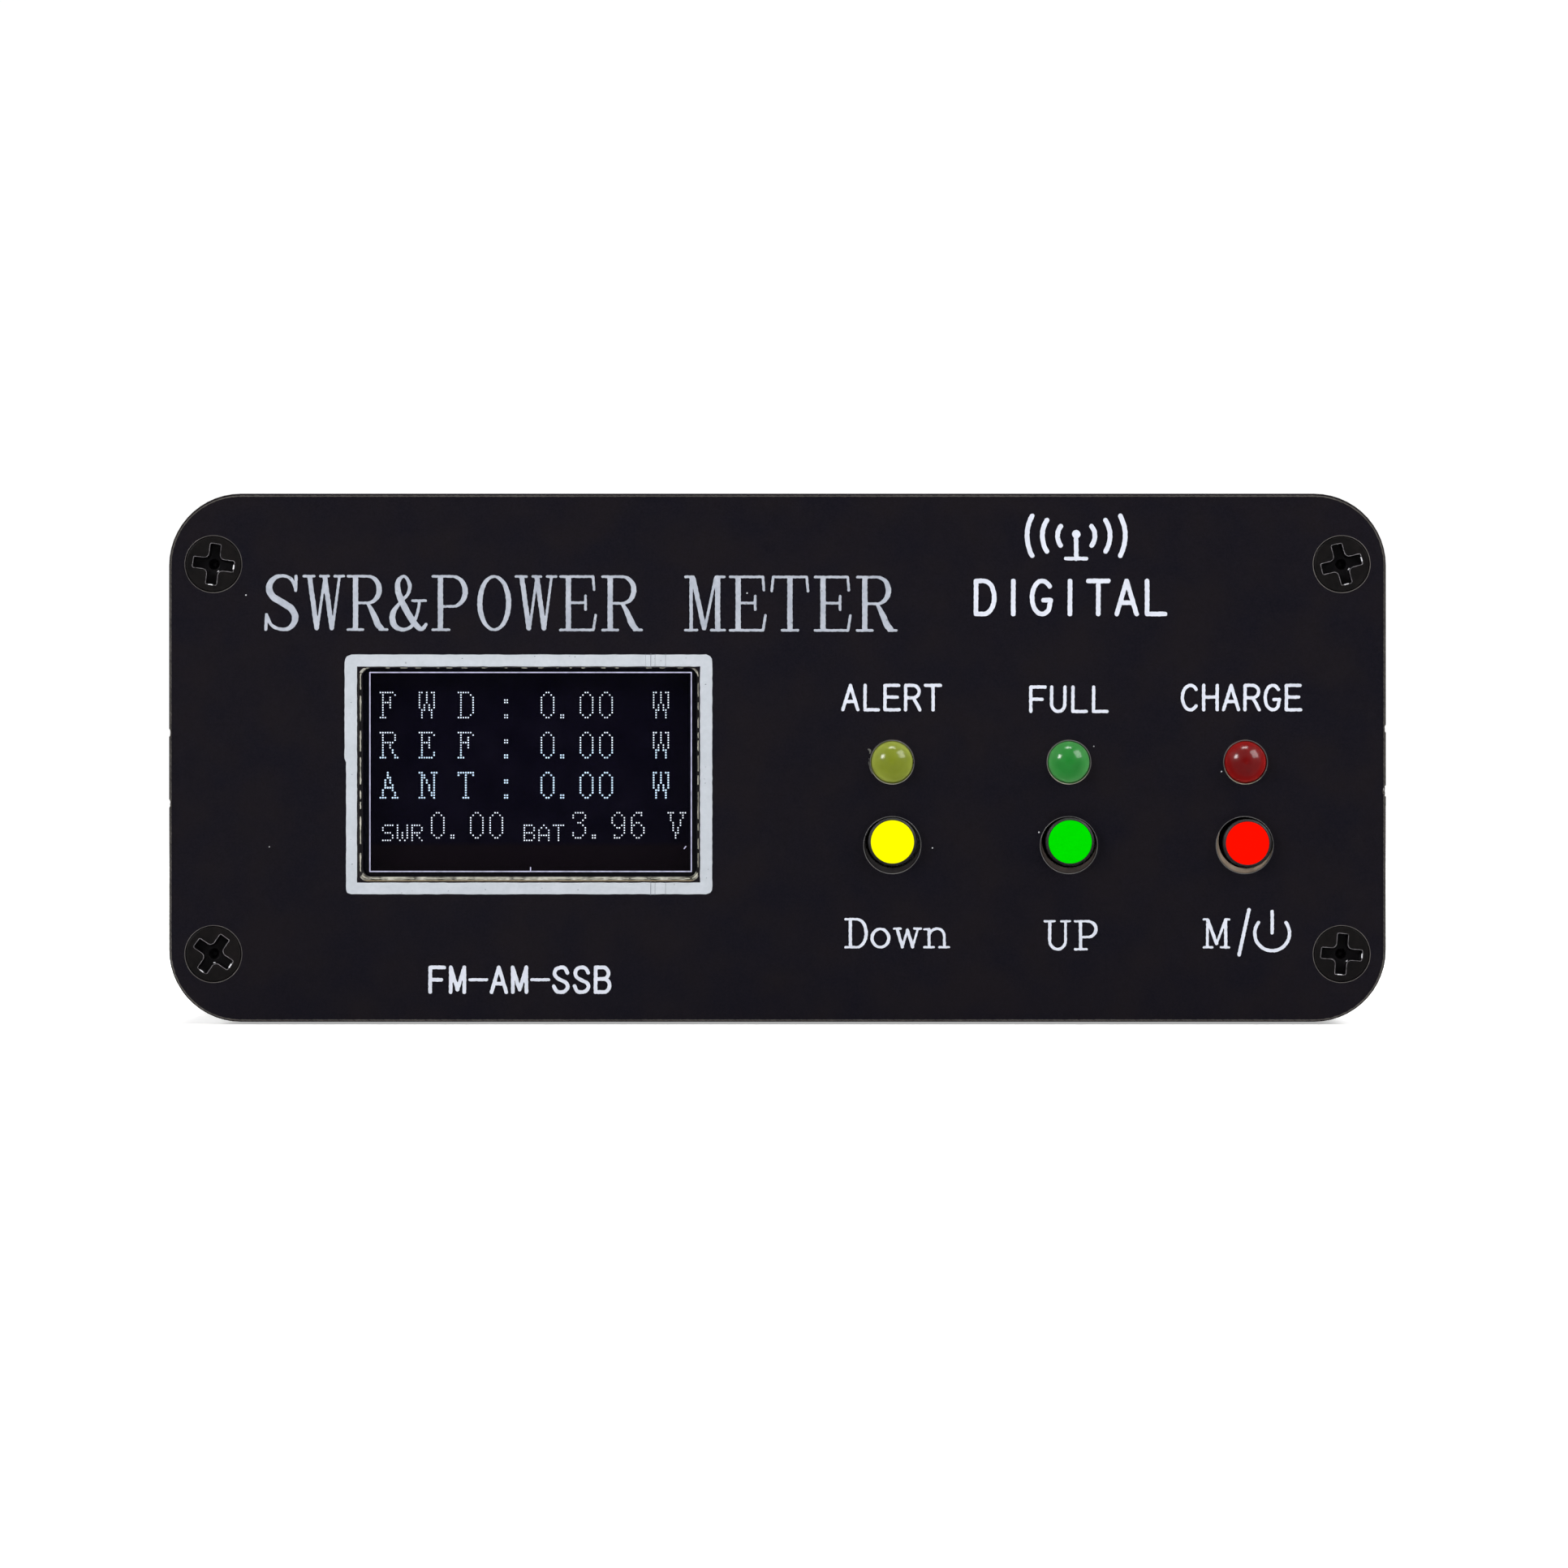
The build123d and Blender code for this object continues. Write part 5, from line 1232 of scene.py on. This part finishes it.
def make_materials():
    """Every finish by name, with the CAD's own material slots among them."""
    made = {name: finish(name + "_finish", *row, **EXTRAS.get(name, {})) for name, row in FINISHES.items()}
    for table, make in ((INKS, ink_finish), (GLOWS, glow_finish), (DOMES, lamp_finish)):
        made.update({name: make(name + "_finish", *values) for name, values in table.items()})
    made.update({name: key_finish(name + "_finish", colour) for name, colour in KEYS.items()})
    made["panel_board"] = panel_finish("panel_board_finish")
    made["polariser"] = polariser_finish("polariser_finish")
    return made


# ------------------------------------------------------------------ the scene

materials = make_materials()


def dress(piece, look):
    """Gives a piece its finish."""
    piece.data.materials.append(materials[look])


def dress_all(pieces, looks):
    for piece, look in zip(pieces, looks):
        dress(piece, look)


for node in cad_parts.values():
    slot_name = node.data.materials[0].name.split(".")[0]
    node.data.materials.clear()
    node.data.materials.append(materials[slot_name])

for piece in print_legends():
    dress(piece, "title_ink" if piece.name == "title_ink" else "ink")
dress(window_frame(), "frame_ink")
dress(frame_nicks(), "nick")
dress(panel_edge_highlight(), "edge_line")
dress_all(screw_recess_wear_and_highlights(), ("recess_rim_highlight", "glint"))
dress(lip_line(), "lip_line")
# Each key hole's wall: where the disc that hides the rest of it lies from the hole's middle, its radius, and
# its finish, painted lit or in shade
HOLE_WALLS = (("down", 0.04, 0.34, 1.98, "drilled_wall_shaded"), ("up", 0.04, 0.36, 1.99, "drilled_wall_half_shaded"),
              ("mode", 0.09, 0.3, 1.98, "drilled_wall_lit"))
for x, (key, *lean, look) in zip(KEY_HOLES, HOLE_WALLS):
    dress(hole_crescent(key + "_hole_wall", x, *lean), look)
dress_all(lamp_glints(), ("lamp_rim_highlight", "glue"))
for piece, glow in light_display():
    dress(piece, glow)
for piece in film_edge():
    dress(piece, "film_edge")

# The rings of bare edge, painted lighter as a highlight: middle, inner and outer radius
key_rings = [(x, KEY_HOLE_Z, 2.045, 2.095) for x in KEY_HOLES]
lamp_rings = [(x, LAMP_HOLE_Z, 1.555, 1.605) for x in LAMPS.values()]
screw_rings = [(sx * SCREW_X, SCREW_MID_Z + sz * SCREW_DZ, 2.045, 2.09) for sx in (-1, 1) for sz in (-1, 1)]
for name, rings, place, look in (
    ("key_hole_rims", key_rings, on_front, "rim"), ("lamp_hole_rims", lamp_rings, on_front, "rim"),
    ("front_screw_rims", screw_rings, on_front, "screw_rim_highlight"),
    ("rear_screw_rims", screw_rings, on_rear, "screw_rim_highlight"),
):
    dress(edge_rings(name, rings, place), look)

for socket, x in (("transmitter_socket", -SOCKET_X), ("antenna_socket", SOCKET_X)):
    for piece in socket_body(socket, x):
        dress(piece, "plated_brass")

for lamp, x in LAMPS.items():
    for piece in lamp_insides(lamp, x):
        dress(piece, "tinned_metal")
dress(usb_contacts(), "gold_pins")

SPECKS = ((-38.45, 30.86), (11.2, 12.57), (22.87, 19.92), (18.9, 13.7), (32.1, 18.1), (-36.75, 12.65),
          (-2.2, 31.0))
dust = [line(0.052 - 0.008 * (n % 3), (x, z), (x + 0.01, z + 0.01)) for n, (x, z) in enumerate(SPECKS)]
dress(ink_piece("dust_specks", dust, on_front, 0.02, 0.02, 0), "dust")


def studio():
    """A pale floor, soft lights, and white surroundings that light the meter only dimly from in front."""
    bpy.ops.mesh.primitive_grid_add(x_subdivisions=8, y_subdivisions=8, size=8, location=(0, 0, -0.0002))
    floor = bpy.context.object
    floor.name = "pale_floor"
    floor.data.materials.append(floor_finish())

    world = bpy.data.worlds.new("studio")
    bpy.context.scene.world = world
    world.use_nodes = True
    tree = world.node_tree
    tree.nodes.clear()
    kinds = ("OutputWorld", "MixShader", "LightPath", "Background", "Background", "TexCoord", "SeparateXYZ",
             "MapRange")
    out, pick, path, seen, felt, place, split, ramp = (tree.nodes.new("ShaderNode" + kind) for kind in kinds)
    seen.inputs[0].default_value = (1, 1, 1, 1)
    seen.inputs[1].default_value = 1.02
    for socket, value in zip(list(ramp.inputs)[1:5], (-0.985, -0.8, 0.04, 0.42)):
        socket.default_value = value
    for start, end in (
        (place.outputs["Generated"], split.inputs[0]), (split.outputs[1], ramp.inputs[0]),
        (ramp.outputs[0], felt.inputs[1]), (path.outputs["Is Camera Ray"], pick.inputs[0]),
        (felt.outputs[0], pick.inputs[1]), (seen.outputs[0], pick.inputs[2]),
        (pick.outputs[0], out.inputs[0]),
    ):
        tree.links.new(start, end)

    lamps = (
        ("key", (0.7, -0.4, 0.62), 0.62, 6.0),
        ("fill", (-0.74, -0.5, 0.46), 0.3, 4.8),
        ("top", (0.0, -0.03, 0.95), 0.36, 4.4),
        ("back_left", (0.55, 0.72, 0.5), 0.4, 5.0),
        ("back_right", (-0.62, 0.6, 0.3), 0.4, 3.5),
    )
    aim = Vector((0, 0, MID_Z * MM))
    for name, place, size, power in lamps:
        light = bpy.data.lights.new(name, "AREA")
        light.shape = "SQUARE"
        light.size = size
        light.energy = power
        obj = bpy.data.objects.new(name, light)
        obj.location = place
        obj.rotation_euler = (aim - Vector(place)).to_track_quat("-Z", "Y").to_euler()
        bpy.context.scene.collection.objects.link(obj)


def camera():
    """Level with the front panel, EYE_DISTANCE away from it."""
    data = bpy.data.cameras.new("camera")
    data.sensor_width = 36
    data.lens = 36 * EYE_DISTANCE / EYE_WIDTH
    data.clip_start = 0.02
    obj = bpy.data.objects.new("camera", data)
    obj.location = Vector((EYE_X, FRONT - EYE_DISTANCE, EYE_Z)) * MM
    obj.rotation_euler = (math.radians(90), 0, 0)
    bpy.context.scene.collection.objects.link(obj)
    bpy.context.scene.camera = obj


studio()
camera()
bpy.context.scene.view_settings.view_transform = "Standard"
